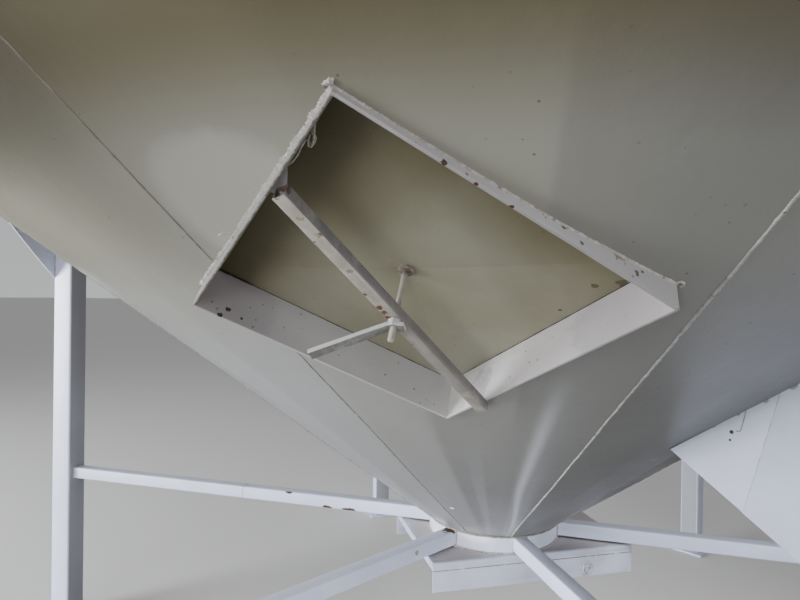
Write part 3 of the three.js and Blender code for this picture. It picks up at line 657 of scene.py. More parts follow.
def placed_group(tree, group, **values):
    node = tree.nodes.new("ShaderNodeGroup")
    node.node_tree = group
    for label, value in values.items():
        node.inputs[label].default_value = value
    return node


print("rust", RUST[:3])

# %% [markdown]
# The recipe is a class, because a finish grows layer by layer: it holds the colour, roughness and height
# made so far, and every method lays one more effect over them. Its own values come from the photograph: the
# cone is a greyish olive cream, the legs and spokes a cooler and paler grey, the gate is brown with dust.

# %% The paint recipe
class Finish:
    """A painted or bare metal surface whose layers are added one over the other."""

    def __init__(self, name, clean, aged, size, balance, roughness, metallic=0.0):
        self.material = bpy.data.materials.new(name)
        self.material.use_nodes = True
        self.tree = self.material.node_tree
        self.shader = self.tree.nodes["Principled BSDF"]
        self.shader.inputs["Metallic"].default_value = metallic
        base = placed_group(self.tree, clouds, Clean=clean, Aged=aged, Size=size, Balance=balance)
        self.colour = base.outputs["Colour"]
        rough = ramp_between(self.tree, base.outputs["Mask"], 0.0, 1.0, roughness, roughness + 0.1)
        self.roughness = rough
        self.height = placed_group(self.tree, skin).outputs["Height"]

    def layer(self, mask, colour, roughness=None, strength=1.0):
        if strength != 1.0:
            mask = math_node(self.tree, "MULTIPLY", mask, strength)
        self.colour = blended(self.tree, mask, self.colour, colour)
        if roughness is not None:
            node = self.tree.nodes.new("ShaderNodeMix")
            self.tree.links.new(mask, node.inputs["Factor"])
            self.tree.links.new(self.roughness, node.inputs["A"])
            node.inputs["B"].default_value = roughness
            self.roughness = node.outputs["Result"]
        return self

    def specks(self, spacing, share, radius, colour=DARK_DIRT_AND_SHADE, strength=1.0):
        node = placed_group(self.tree, specks, Spacing=spacing, Share=share, Radius=radius)
        return self.layer(node.outputs["Mask"], colour, 0.8, strength)

    def stain_and_painted_light(self, place, radius, colour=RUST, raggedness=0.6, grain=90.0, strength=1.0, shape=(1, 1, 1)):
        node = placed_group(self.tree, stain_and_painted_light, Place=place, Shape=shape, Radius=radius, Raggedness=raggedness)
        node.inputs["Grain"].default_value = grain
        return self.layer(node.outputs["Mask"], colour, 0.85, strength)

    def runs(self, width, length, share, colour, strength):
        node = placed_group(self.tree, runs, Width=width, Length=length, Share=share)
        return self.layer(node.outputs["Mask"], colour, 0.7, strength)

    def band(self, first, last, blur, lowest, highest, fade, colour, strength, lean=0.0):
        node = placed_group(
            self.tree, band, First=first, Last=last, Blur=blur, Lowest=lowest, Highest=highest,
            Fade=fade, Lean=lean,
        )
        return self.layer(node.outputs["Mask"], colour, strength=strength)

    # Lays painted shade towards the upper corners, then the inner corner's dirt and painted shade.
    def hatch_dirt_and_painted_light(self, width, growth, shade, strength):
        node = placed_group(self.tree, hatch_dirt_and_painted_light, Width=width, Growth=growth)
        self.layer(node.outputs["Shade"], shade, strength=strength)
        return self.layer(node.outputs["Corner"], DARK_DIRT_AND_SHADE, 0.9, 0.9)

    # Paints the frame's outer face on the upper right paler, as light.
    def hatch_outer(self, colour, strength):
        node = placed_group(self.tree, hatch_dirt_and_painted_light)
        return self.layer(node.outputs["Outer"], colour, strength=strength)

    # Paints the inner edge of the upper left brim dark, as shade.
    def hatch_brim(self, colour, strength):
        node = placed_group(self.tree, hatch_dirt_and_painted_light)
        return self.layer(node.outputs["Brim"], colour, 0.9, strength)

    def height_tone(self, full, none, colour, strength):
        place = self.tree.nodes.new("ShaderNodeTexCoord")
        split = self.tree.nodes.new("ShaderNodeSeparateXYZ")
        self.tree.links.new(place.outputs["Object"], split.inputs[0])
        mask = ramp_between(self.tree, split.outputs["Z"], none, full)
        return self.layer(mask, colour, strength=strength)

    def dust_and_shade(self, amount, colour=DUST, grain=60.0, steepest=0.3, level=0.9, inside=None):
        node = placed_group(self.tree, dust_and_shade, Amount=amount, Grain=grain, Steepest=steepest, Level=level)
        mask = node.outputs["Mask"]
        if inside is not None:
            mask = math_node(self.tree, "MULTIPLY", mask, inside)
        return self.layer(mask, colour, 0.9)

    def done(self):
        self.tree.links.new(self.colour, self.shader.inputs["Base Color"])
        self.tree.links.new(self.roughness, self.shader.inputs["Roughness"])
        bump = self.tree.nodes.new("ShaderNodeBump")
        bump.inputs["Distance"].default_value = RIPPLE_HEIGHT
        bump.inputs["Strength"].default_value = RIPPLE_STRENGTH
        self.tree.links.new(self.height, bump.inputs["Height"])
        self.tree.links.new(bump.outputs["Normal"], self.shader.inputs["Normal"])
        return self.material


print("paint recipe ready")

# %% [markdown]
# The large surfaces first. The cone's paint is a glossy greyish cream that turns olive towards the rim and
# bluish near the mouth. Part of that change is the light of the yard, which the studio doesn't give, so it
# is painted: tones by height and by sheet are laid over the clouded paint.

# %% Paint of the cone: its tones
cone_finish = Finish("cone_paint", (0.30, 0.297, 0.277, 1), (0.27, 0.265, 0.24, 1), 0.6, 0.5, 0.285)
# Painted light and shade by height: olive towards the rim, darker grey towards the mouth.
cone_finish.height_tone(1.74, 1.45, (0.335, 0.325, 0.265, 1), 0.80)
cone_finish.height_tone(0.95, 1.40, (0.20, 0.198, 0.195, 1), 0.80)
# Painted light and shade by sheet.
cone_finish.band(40, 80.3, 0.35, 0.95, 1.78, 0.12, (0.222, 0.218, 0.198, 1), 0.50)
cone_finish.band(36, 75.0, 4.0, 1.00, 1.90, 0.25, (0.19, 0.195, 0.19, 1), 0.25)
cone_finish.band(106, 150, 7.0, 1.30, 2.20, 0.25, (0.21, 0.19, 0.12, 1), 0.50)
cone_finish.band(34, 73.5, 2.0, 0.35, 1.00, 0.20, (0.16, 0.16, 0.15, 1), 0.35)
# Painted shade, a dark olive, just under the rim.
cone_finish.height_tone(1.91, 1.765, (0.118, 0.100, 0.048, 1), 0.92)
print("cone gloss", round(cone_finish.shader.inputs["IOR"].default_value, 2))

# %% [markdown]
# Near the mouth the sheets were pressed, and the gloss shows it as streaks: a bright ridge that bends into
# the mouth, darker strips on both sides of it with a faint pale line in the left one, and a bluish paler
# stretch further left. The small creases of the mesh carry part of this, and the bands make up the rest as
# painted reflections: a painted highlight on the ridge, painted shade in the strips.

# %% Paint of the cone: painted reflections near the mouth
CONE_PAINTED_REFLECTIONS = (
    (78.0, 91.9, 0.6, 0.20, 0.80, 0.25, (0.15, 0.148, 0.142, 1), 0.50, -2.0),
    (85.0, 88.0, 0.5, 0.20, 0.75, 0.25, (0.33, 0.33, 0.33, 1), 0.35, -1.0),
    (75.2, 76.9, 1.0, 0.24, 1.05, 0.15, (0.62, 0.63, 0.66, 1), 0.60, -4.8),
    (68.2, 74.6, 0.8, 0.20, 0.90, 0.20, (0.14, 0.14, 0.135, 1), 0.30, -2.4),
    (30, 68.2, 0.5, 0.20, 1.25, 0.25, (0.14, 0.14, 0.135, 1), 0.55),
    (104, 140, 3.0, 0.20, 1.30, 0.30, (0.40, 0.41, 0.44, 1), 0.30),
)
# Painted reflections: a painted highlight on the ridge and painted shade in the strips beside it.
for painted_reflection in CONE_PAINTED_REFLECTIONS:
    cone_finish.band(*painted_reflection)
print("streaks", len(CONE_PAINTED_REFLECTIONS))

# %% [markdown]
# Splashes of dirt dot the cone: a fine and a coarse scatter of specks, and eight marks at their own places.
# A broad pale patch above on the left is painted light, where bounced light brightens the sheet. A paler
# scuff near the mouth and a short scratch finish it.

# %% Paint of the cone: splashes, painted light, a scuff and a scratch
CONE_SPLASHES = (
    (0.0206, -1.7192, 1.8445), (0.0993, -1.7027, 1.8341), (0.1775, -1.6874, 1.8275),
    (0.2521, -1.6606, 1.8145), (0.1851, -1.6262, 1.7822), (0.2305, -1.6192, 1.7813),
    (0.2432, -1.5978, 1.7668), (0.4663, -1.3493, 1.6247),
)
SPLASH_RADIUS = 0.0026
# Painted light: the broad pale patch above on the left.
cone_finish.stain_and_painted_light((-0.21, -1.54, 1.722), 0.17, (0.50, 0.49, 0.44, 1), 0.15, 8.0, 0.45)
cone_finish.specks(0.026, 0.60, 0.17, (0.12, 0.11, 0.08, 1), 0.50)
cone_finish.specks(0.06, 0.12, 0.08, strength=0.6)
cone_finish.specks(0.19, 0.10, 0.035, RUST, 0.9)
for splash in CONE_SPLASHES:
    cone_finish.stain_and_painted_light(splash, SPLASH_RADIUS, (0.07, 0.06, 0.045, 1), 0.4, 130.0, 0.7)
cone_finish.stain_and_painted_light((-0.0772, -0.451, 0.8937), 0.008, (0.75, 0.76, 0.78, 1), 0.9, 60.0, 1.0, (1.0, 1.0, 2.2))
cone_finish.stain_and_painted_light((0.5195, -0.5845, 1.1382), 0.004, (0.6, 0.6, 0.6, 1), 0.5, 60.0, 0.6, (9.0, 2.0, 1.0))
cone_paint = cone_finish.done()
print("splashes", len(CONE_SPLASHES))

# %% [markdown]
# The barrel and the roof have the same cream paint, duller with age. Rain leaves long upright runs on them
# and dust lies on the roof, so the runs and dust groups do the work here.

# %% Paint of the barrel and the roof
shell_finish = Finish("shell_paint", (0.46, 0.45, 0.40, 1), (0.36, 0.35, 0.30, 1), 1.3, 0.5, 0.36)
shell_finish.runs(0.015, 2.2, 0.4, (0.23, 0.22, 0.18, 1), 0.3)
shell_finish.specks(0.14, 0.08, 0.05, strength=0.6)
shell_finish.dust_and_shade(0.5, (0.33, 0.32, 0.27, 1), 9.0)
shell_paint = shell_finish.done()
print("shell paint", shell_paint.name)

# %% [markdown]
# The legs and spokes have a cooler white, with rust chips on the left spoke's upper edge, rust where a
# spoke meets the ring, and a grey spot beside that. The legs' inner faces are painted darker, because they
# lie in deep shade in the photograph. Only those faces lie inside one radius, so a band that goes all the
# way round finds them.

# %% Paint of the legs and the spokes
LEG_INNER_FACE = 2.0292
SPOKE_HALF = 0.0254
SPOKE_CHIPS = ((-0.876, 0.731, 0.007, 3.0), (-0.697, 0.687, 0.008, 3.4), (-0.598, 0.686, 0.008, 4.4))


def frame_recipe(name):
    finish = Finish(name, (0.755, 0.80, 0.985, 1), (0.66, 0.69, 0.83, 1), 0.35, 0.55, 0.34)
    finish.specks(0.03, 0.12, 0.10, (0.2, 0.16, 0.12, 1), 0.8).specks(0.11, 0.10, 0.06, RUST)
    return finish.dust_and_shade(0.15, (0.50, 0.46, 0.44, 1), 40.0)


leg_finish = frame_recipe("leg_paint")
leg_finish.band(-200, 200, 1.0, 1.9, LEG_INNER_FACE + 0.0011, 0.0006, (0.30, 0.30, 0.32, 1), 0.88)
leg_paint = leg_finish.done()

frame_finish = frame_recipe("frame_paint")
for along, height, size, length in SPOKE_CHIPS:
    frame_finish.stain_and_painted_light((along, -SPOKE_HALF, height), size, RUST, 0.5, 90.0, 1.0, (length, 1.0, 1.0))
ring_joint = direction(120) * 0.262 + UP * 0.732
frame_finish.stain_and_painted_light(ring_joint, 0.03, RUST, 0.9, 70.0, 1.0, (1.0, 1.0, 0.5))
grey_spot = direction(120) * 0.455 + direction(30) * SPOKE_HALF + UP * 0.712
frame_finish.stain_and_painted_light(grey_spot, 0.010, (0.30, 0.31, 0.27, 1), 0.8, 60.0)
frame_paint = frame_finish.done()
print("rust chips on the left spoke", len(SPOKE_CHIPS))

# %% [markdown]
# The ring is the palest piece, with one rusty place where a spoke meets it. The shaft's cap has lost its
# paint in small patches.

# %% Paint of the ring and the shaft's cap
ring_finish = Finish("ring_paint", (0.80, 0.835, 0.99, 1), (0.70, 0.71, 0.82, 1), 0.12, 0.55, 0.34)
ring_finish.specks(0.03, 0.14, 0.12, (0.2, 0.16, 0.12, 1), 0.8)
ring_paint = ring_finish.stain_and_painted_light((-0.1287, -0.2096, 0.735), 0.02, RUST, 0.9, 80.0).done()

cap_finish = Finish("cap_paint", (0.60, 0.62, 0.72, 1), (0.36, 0.35, 0.36, 1), 0.010, 0.5, 0.4)
cap_paint = cap_finish.specks(0.006, 0.30, 0.20, (0.16, 0.10, 0.07, 1), 0.9).done()
print("paints", ring_paint.name, cap_paint.name)

# %% [markdown]
# The duct is bluish, with two small holes through its side, painted black as the shade inside them, and
# dark spots along its upper edge.
# A second sheet, lapped over the first, is a little darker, so both come from one recipe. The line between
# them is dull and dark.

# %% Paint of the duct
DUCT_ALONG = direction(30)
DUCT_SIDE = 0.280
DUCT_HOLES = ((0.9459, 1.2561, 0.0058), (0.9427, 1.2355, 0.0036))
DUCT_EDGE_MARKS = ((0.905, 1.264, 0.004), (0.958, 1.303, 0.005), (1.020, 1.345, 0.006), (1.075, 1.384, 0.009))
duct_side = direction(120)


def duct_point(along, height):
    return DUCT_ALONG * along + duct_side * DUCT_SIDE + UP * height


def duct_recipe(name, clean, aged):
    finish = Finish(name, clean, aged, 0.3, 0.5, 0.36)
    finish.specks(0.05, 0.10, 0.08, strength=0.7).dust_and_shade(0.7, (0.4, 0.38, 0.35, 1), 30.0)
    # Painted shade: black spots stand for the dark inside of the two holes.
    for along, height, size in DUCT_HOLES:
        finish.stain_and_painted_light(duct_point(along, height), size, (0.02, 0.02, 0.02, 1), 0.1, 60.0)
    for along, height, size in DUCT_EDGE_MARKS:
        finish.stain_and_painted_light(duct_point(along, height), size, (0.20, 0.20, 0.19, 1), 0.8, 70.0, 0.8, (2.0, 1.0, 1.0))
    return finish.done()


duct_paint = duct_recipe("duct_paint", (0.565, 0.60, 0.74, 1), (0.49, 0.515, 0.62, 1))
duct_paint_lap = duct_recipe("duct_paint_lap", (0.535, 0.57, 0.70, 1), (0.465, 0.49, 0.59, 1))
duct_joint = Finish("duct_joint", (0.33, 0.33, 0.34, 1), (0.20, 0.20, 0.21, 1), 0.03, 0.5, 0.5).done()
print("paints", duct_paint.name, duct_paint_lap.name, duct_joint.name)

# %% [markdown]
# The gate keeps brown grain dust on its level plate, and the rain has washed the plate's margin clean. So
# the dust is masked by the plate's own outline, read in the gate's frame. A dark broken line of painted
# shade marks the narrow gap between the top plate and the frame under it.

# %% Paint of the gate
GATE_HALF = 0.262
GATE_LEFT = -0.326
GATE_GAP_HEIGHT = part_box("gate_top_plate")[0].z
gate_finish = Finish("gate_paint", (0.575, 0.60, 0.725, 1), (0.485, 0.49, 0.565, 1), 0.12, 0.5, 0.42)
gate_finish.specks(0.022, 0.18, 0.12, (0.15, 0.09, 0.06, 1), 0.9)
gate_tree = gate_finish.tree
gate_map = gate_tree.nodes.new("ShaderNodeMapping")
gate_map.vector_type = "TEXTURE"
gate_map.inputs["Rotation"].default_value = (0.0, 0.0, math.radians(30.0))
gate_split = gate_tree.nodes.new("ShaderNodeSeparateXYZ")
gate_place = gate_tree.nodes.new("ShaderNodeTexCoord").outputs["Object"]
gate_tree.links.new(gate_place, gate_map.inputs["Vector"])
gate_tree.links.new(gate_map.outputs["Vector"], gate_split.inputs[0])
gate_across = math_node(gate_tree, "ABSOLUTE", gate_split.outputs["Y"])
inside_sides = ramp_between(gate_tree, gate_across, GATE_HALF - 0.020, GATE_HALF - 0.008, 1.0, 0.0)
inside_end = ramp_between(gate_tree, gate_split.outputs["X"], GATE_LEFT + 0.010, GATE_LEFT + 0.026)
clear_of_margin = math_node(gate_tree, "MULTIPLY", inside_sides, inside_end)
gate_finish.dust_and_shade(1.0, (0.60, 0.54, 0.51, 1), 70.0, inside=clear_of_margin)
# Painted shade: a dark broken line in the gap under the top plate.
gap_from = math_node(gate_tree, "SUBTRACT", gate_split.outputs["Z"], GATE_GAP_HEIGHT)
gap_near = math_node(gate_tree, "ABSOLUTE", gap_from)
gap_broken = ramp_between(gate_tree, object_noise(gate_tree, 30.0, 4.0, 0.7), 0.36, 0.52, 0.15, 1.0)
gap_line = ramp_between(gate_tree, gap_near, 0.0009, 0.0020, 1.0, 0.0)
gate_finish.layer(math_node(gate_tree, "MULTIPLY", gap_line, gap_broken), DARK_DIRT_AND_SHADE, 0.9, 0.9)
gate_paint = gate_finish.done()
print("gate's gap at", round(GATE_GAP_HEIGHT, 4))

# %% [markdown]
# The hatch is the dirtiest part. Its plates were painted cream. Broad soft patches, which come first, paint
# in their uneven shade, most of all on the lower left plate. The upper right plate's outer face is painted
# paler than the rest, as light, and the inner edge of the upper left brim is painted dark, as shade.

# %% Paint of the hatch's plates: broad tones
PLATE_IN = 0.3065
hatch_finish = Finish("hatch_paint", (0.66, 0.64, 0.635, 1), (0.55, 0.525, 0.50, 1), 0.16, 0.5, 0.34)
# Painted shade: broad soft patches on the lower right and lower left plates.
hatch_finish.stain_and_painted_light(hatch_point(-PLATE_IN, -0.10, -0.06), 0.20, (0.46, 0.43, 0.425, 1), 0.3, 8.0, 0.75)
hatch_finish.stain_and_painted_light(hatch_point(0.26, PLATE_IN, -0.04), 0.13, (0.33, 0.315, 0.31, 1), 0.2, 10.0, 0.7)
hatch_finish.stain_and_painted_light(hatch_point(0.300, -0.125, -0.02), 0.022, (0.62, 0.53, 0.51, 1), 0.4, 60.0, 0.8)
hatch_finish.stain_and_painted_light(hatch_point(-0.04, PLATE_IN, -0.05), 0.30, (0.44, 0.425, 0.43, 1), 0.2, 8.0, 0.65)
# Painted light on the upper right plate's outer face.
hatch_finish.hatch_outer((0.92, 0.90, 0.90, 1), 0.9)
# Painted shade towards the upper corners, with dirt and painted shade in the inner corner.
hatch_finish.hatch_dirt_and_painted_light(0.0010, 5.0, (0.30, 0.275, 0.265, 1), 0.75)
hatch_finish.specks(0.014, 0.42, 0.30, (0.16, 0.13, 0.11, 1), 0.8)
# Painted shade along the inner edge of the upper left brim.
hatch_finish.hatch_brim((0.085, 0.075, 0.055, 1), 0.88)
hatch_finish.specks(0.022, 0.14, 0.12, strength=0.9).specks(0.05, 0.14, 0.08, RUST)
print("hatch half width", HATCH_HALF)

# %% [markdown]
# Then the marks that have a place of their own in the photograph: black blots on the lower left plate,
# blots and one brown smear on the upper right plate's outer face, and spots of rust along the edges.

# %% Paint of the hatch's plates: blots and rust
PLATE_BLOTS = (
    (0.2465, -0.0218, 0.0055), (0.2574, -0.0022, 0.006), (0.2144, -0.0153, 0.003),
)
OUTER_BLOTS = (
    (-0.0667, -0.0195, 0.0055), (-0.2177, -0.0206, 0.0055), (-0.2581, -0.0451, 0.0055),
    (-0.1022, -0.0106, 0.0035), (-0.2300, -0.0300, 0.0035),
)
PLATE_RUST = (
    ((0.2096, -1.5506, 1.7084), 0.0045), ((0.1297, -1.6173, 1.7578), 0.004),
    (hatch_point(0.0881, -0.3095, 0.0), 0.0035), ((0.4189, -1.3539, 1.6228), 0.004),
    ((0.0883, -1.6646, 1.7932), 0.004),
)
for x, z, size in PLATE_BLOTS:
    hatch_finish.stain_and_painted_light(hatch_point(x, PLATE_IN, z), size, DARK_DIRT_AND_SHADE, 0.7, 130.0)
for x, z, size in OUTER_BLOTS:
    hatch_finish.stain_and_painted_light(hatch_point(x, -HATCH_HALF, z), size, (0.07, 0.07, 0.065, 1), 0.8, 110.0, 0.9)
smear = hatch_point(-0.180, -HATCH_HALF, -0.034)
hatch_finish.stain_and_painted_light(smear, 0.014, (0.24, 0.15, 0.13, 1), 1.4, 110.0, 0.8, (1.6, 1.0, 0.7))
for place, size in PLATE_RUST:
    hatch_finish.stain_and_painted_light(place, size, RUST, 0.9, 90.0)
hatch_finish.stain_and_painted_light((0.0994, -1.0637, 1.3793), 0.05, (0.36, 0.34, 0.35, 1), 1.0, 22.0, 0.5)
# Painted shade on the lower right plate towards the right corner.
hatch_finish.stain_and_painted_light(hatch_point(-PLATE_IN, -0.20, -0.04), 0.12, (0.36, 0.335, 0.335, 1), 0.5, 14.0, 0.75)
hatch_paint = hatch_finish.done()
print("blots", len(PLATE_BLOTS) + len(OUTER_BLOTS), "rust", len(PLATE_RUST))

# %% [markdown]
# The cover is a duller olive and goes dark towards the upper left, where it lies deepest in shade. Dirt has
# dried in a row of spots along its lower right edge, and a few brown stains lie near them.

# %% Paint of the cover
COVER_EDGE = -0.3020
EDGE_SPOTS = ((-0.292, 0.014), (-0.268, 0.008), (-0.246, 0.007), (-0.226, 0.008), (-0.204, 0.005))
COVER_STAINS = (
    ((0.3316, -1.2488, 1.6068), 0.006), ((0.2701, -1.189, 1.5614), 0.004), ((0.3768, -1.2557, 1.6123), 0.010),
)
cover_finish = Finish("cover_paint", (0.355, 0.34, 0.26, 1), (0.31, 0.29, 0.20, 1), 0.22, 0.48, 0.45)
# Painted shade towards the upper corners, with dirt and painted shade in the inner corner.
cover_finish.hatch_dirt_and_painted_light(0.0013, 5.0, (0.140, 0.118, 0.045, 1), 0.86)
cover_finish.specks(0.02, 0.10, 0.10, strength=0.9)
cover_finish.specks(0.022, 0.50, 0.17, (0.12, 0.105, 0.06, 1), 0.55)
for along, size in EDGE_SPOTS:
    spot_place = hatch_point(COVER_EDGE, along, COVER_FACE)
    cover_finish.stain_and_painted_light(spot_place, size, (0.09, 0.07, 0.04, 1), 0.8, 90.0, 0.85)
for place, size in COVER_STAINS:
    cover_finish.stain_and_painted_light(place, size, (0.10, 0.075, 0.04, 1), 1.0, 60.0, 0.8)
cover_paint = cover_finish.done()
print("stains on the cover", len(EDGE_SPOTS) + len(COVER_STAINS))

# %% [markdown]
# The bar was cream once. Its upper side is painted darker as shade, and its open upper left end is painted
# nearly black as the shade inside the tube, with rust. The paint is worn brown in three places, and there
# are rust spots and a rusty patch beside the rod.

# %% Paint of the bar
BAR_TOP = 0.017
BAR_CHIPS = ((0.2495, -0.0906), (0.2113, -0.0782), (0.1336, -0.0362))
BAR_RUST = (
    (0.2507, -0.0895, BAR_TOP, 0.003), (0.2123, -0.0803, BAR_TOP, 0.005), (0.0838, 0.0014, BAR_TOP, 0.004),
    (0.0450, 0.0170, 0.014, 0.008), (0.0330, 0.0240, 0.014, 0.008), (0.0200, 0.0310, 0.014, 0.008),
    (0.2960, -0.1093, 0.004, 0.008), (0.2900, -0.1093, 0.000, 0.011),
)
bar_finish = Finish("bar_paint", (0.52, 0.49, 0.43, 1), (0.36, 0.33, 0.275, 1), 0.04, 0.5, 0.38)
# Painted shade: the dust mask darkens the upper side.
bar_finish.dust_and_shade(1.0, (0.18, 0.17, 0.168, 1), 14.0, 0.05, 0.20)
bar_finish.stain_and_painted_light(hatch_point(-0.12, 0.09, 0.0), 0.20, (0.20, 0.185, 0.175, 1), 0.5, 12.0, 0.6)
bar_finish.specks(0.009, 0.3, 0.12, (0.20, 0.14, 0.09, 1), 0.7)
bar_finish.specks(0.016, 0.35, 0.26, (0.16, 0.10, 0.06, 1), 0.9)
for along, across in BAR_CHIPS:
    bar_finish.stain_and_painted_light(hatch_point(along, across, BAR_TOP), 0.007, (0.24, 0.175, 0.11, 1), 1.2, 120.0, 0.75)
# Painted shade with rust: the dark inside of the tube's open end.
bar_finish.stain_and_painted_light(hatch_point(0.300, -0.111, -0.004), 0.018, (0.06, 0.03, 0.028, 1), 0.5, 90.0, 0.85)
for x, y, z, size in BAR_RUST:
    bar_finish.stain_and_painted_light(hatch_point(x, y, z), size, (0.15, 0.062, 0.035, 1), 0.8, 150.0)
bar_paint = bar_finish.done()
print("rust places on the bar", len(BAR_RUST))

# %% [markdown]
# The crank's underside is painted darker as its own shade, and the rod and its washer were painted along
# with the rest.
# The twine is pale plastic fibre, grey with dust.

# %% Paint of the crank and the rod, and the twine
crank_finish = Finish("crank_paint", (0.64, 0.635, 0.625, 1), (0.52, 0.515, 0.485, 1), 0.07, 0.5, 0.36)
# Painted shade: the dust mask, turned round, darkens the faces that look down.
crank_finish.dust_and_shade(0.9, (0.17, 0.165, 0.145, 1), 30.0, -0.3, -0.7)
crank_paint = crank_finish.specks(0.014, 0.22, 0.14, (0.14, 0.10, 0.07, 1), 0.9).done()

rod_finish = Finish("rod_paint", (0.50, 0.47, 0.40, 1), (0.36, 0.32, 0.25, 1), 0.02, 0.5, 0.45)
rod_finish.specks(0.008, 0.35, 0.3, (0.13, 0.08, 0.04, 1), 0.9)
rod_paint = rod_finish.stain_and_painted_light((-0.0096, -1.2877, 1.6337), 0.019, RUST, 1.4, 140.0, 0.6).done()

string_fibre = Finish("string_fibre", (0.66, 0.63, 0.54, 1), (0.46, 0.43, 0.35, 1), 0.01, 0.5, 0.85).done()
print("paints", crank_paint.name, rod_paint.name, string_fibre.name)

# %% [markdown]
# Weld metal was painted with the rest but its ripple holds dirt, so it has more specks and rust. The dull
# seams lie under old paint, darker than the sheet, with light blobs where the paint is thick. The slide,
# the shaft and the racks are bare steel with a brown bloom of rust.

# %% Welds and bare steel
weld_finish = Finish("weld_paint", (0.58, 0.56, 0.505, 1), (0.36, 0.34, 0.30, 1), 0.010, 0.5, 0.36)
weld_finish.specks(0.010, 0.60, 0.48, (0.16, 0.14, 0.11, 1), 0.75)
weld_finish.specks(0.02, 0.22, 0.2, (0.08, 0.05, 0.03, 1), 0.9)
weld_paint = weld_finish.specks(0.05, 0.2, 0.14, RUST).done()

seam_finish = Finish("seam_paint", (0.50, 0.495, 0.47, 1), (0.30, 0.29, 0.27, 1), 0.02, 0.5, 0.34)
seam_paint = seam_finish.specks(0.016, 0.35, 0.35, (0.10, 0.09, 0.075, 1), 0.8).done()

dull_finish = Finish("seam_paint_dull", (0.29, 0.28, 0.235, 1), (0.19, 0.175, 0.14, 1), 0.02, 0.5, 0.5)
seam_paint_dull = dull_finish.specks(0.02, 0.35, 0.35, (0.5, 0.48, 0.43, 1), 0.9).done()

steel_finish = Finish("bare_steel", (0.42, 0.40, 0.37, 1), (0.22, 0.16, 0.12, 1), 0.02, 0.5, 0.42, 0.7)
steel_finish.specks(0.012, 0.3, 0.25, RUST)
bare_steel = steel_finish.dust_and_shade(0.5).done()
print("finishes", len(bpy.data.materials))
# %% [markdown]
# A finished piece is a mesh with smooth faces and sharp corners that tells the frame what it rides on and
# which CAD nodes it stands for. One helper does all of that the same way for every piece, and says so if a
# mesh was left open.

# %% Helper for a finished piece
def piece_from(bm, name, body, material, slot_name, *stands_for, corner=32.0):
    open_edges = sum(1 for edge in bm.edges if not edge.is_manifold)
    mesh = bpy.data.meshes.new(name)
    bm.to_mesh(mesh)
    bm.free()
    mesh.materials.append(material)
    mesh.shade_smooth()
    mesh.set_sharp_from_angle(angle=math.radians(corner))
    piece = bpy.data.objects.new(name, mesh)
    bpy.context.scene.collection.objects.link(piece)
    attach(piece, body)
    if stands_for:
        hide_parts(*stands_for)
    if open_edges:
        print("  open edges in", name, open_edges)
    return piece


print("pieces can be finished")

# %% [markdown]
# Some pieces are copies of a CAD node: its loose triangles are merged, and its sharp edges are rounded with
# a small bevel, because cut and welded plate never has a perfect corner, and that line of light is what
# makes it look like steel. A sheet is a surface first, and gets its thickness when it is extruded.

# %% Helpers for sheets, copies and rounded edges
MERGE_CAD = 2e-5
MERGE_OWN = 1e-6
FLAT_WITHIN = math.radians(0.8)
SHARPER_THAN = math.radians(25.0)


def thickened(bm, thickness, inward):
    wall = bmesh.ops.extrude_face_region(bm, geom=bm.faces[:], use_keep_orig=True)
    for item in wall["geom"]:
        if isinstance(item, bmesh.types.BMVert):
            item.co += inward(item.co) * thickness
    bmesh.ops.recalc_face_normals(bm, faces=bm.faces[:])


def merged_copy(node):
    bm = bmesh.new()
    bm.from_mesh(nodes[node].data)
    bmesh.ops.remove_doubles(bm, verts=bm.verts, dist=MERGE_CAD)
    bmesh.ops.dissolve_limit(bm, angle_limit=FLAT_WITHIN, verts=bm.verts[:], edges=bm.edges[:])
    return bm


def rounded(bm, width, segments=2):
    sharp = [edge for edge in bm.edges if edge.is_manifold and edge.calc_face_angle() > SHARPER_THAN]
    bmesh.ops.bevel(
        bm, geom=sharp, offset=width, offset_type="OFFSET", affect="EDGES", segments=segments,
        profile=0.5, clamp_overlap=True, material=-1,
    )
    return bm


def softened(node, width, material, slot_name, segments=2):
    body = nodes[node]["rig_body"]
    bm = rounded(merged_copy(node), width, segments)
    return piece_from(bm, node + "_dressed", body, material, slot_name, node)


print("piece helpers ready")
# %% [markdown]
# Most of the silo is round, so most of its shapes start as a line of points that is spun about the upright
# axis. A plane then cuts away what the real sheet hasn't got. These three steps come up for the cone, the
# barrel, the ring, the gussets and the rod, so each is a helper.

# %% Helpers for lines, spins and cuts
def line_of(bm, places, closed=False):
    points = [bm.verts.new(place) for place in places]
    following = points[1:] + points[:1] if closed else points[1:]
    for one, two in zip(points, following):
        bm.edges.new((one, two))


def spun(bm, angle, steps, whole_turn=False):
    bmesh.ops.spin(
        bm, geom=bm.verts[:] + bm.edges[:], cent=(0, 0, 0), axis=(0, 0, 1), angle=angle, steps=steps,
        use_merge=whole_turn, use_duplicate=False,
    )


def cut_away(bm, place, beyond):
    cut = bmesh.ops.bisect_plane(
        bm, geom=bm.verts[:] + bm.edges[:] + bm.faces[:], dist=MERGE_OWN, clear_outer=True,
        plane_co=place, plane_no=beyond,
    )
    return [item for item in cut["geom_cut"] if isinstance(item, bmesh.types.BMEdge)]


print("line, spin and cut helpers ready")

# %% [markdown]
# A weld bead is a low ridge with the ripple of a stick weld. It is made as a tube: a flat grid is wrapped
# round the path, so that one direction of the grid runs along the seam and the other goes round a squashed
# circle. Noise lets its width and height wander, and a short wave makes the ripple.

# %% Weld beads
BEAD_SIDES = 8
RIPPLE_PITCH = 0.0052
bead_count = 0


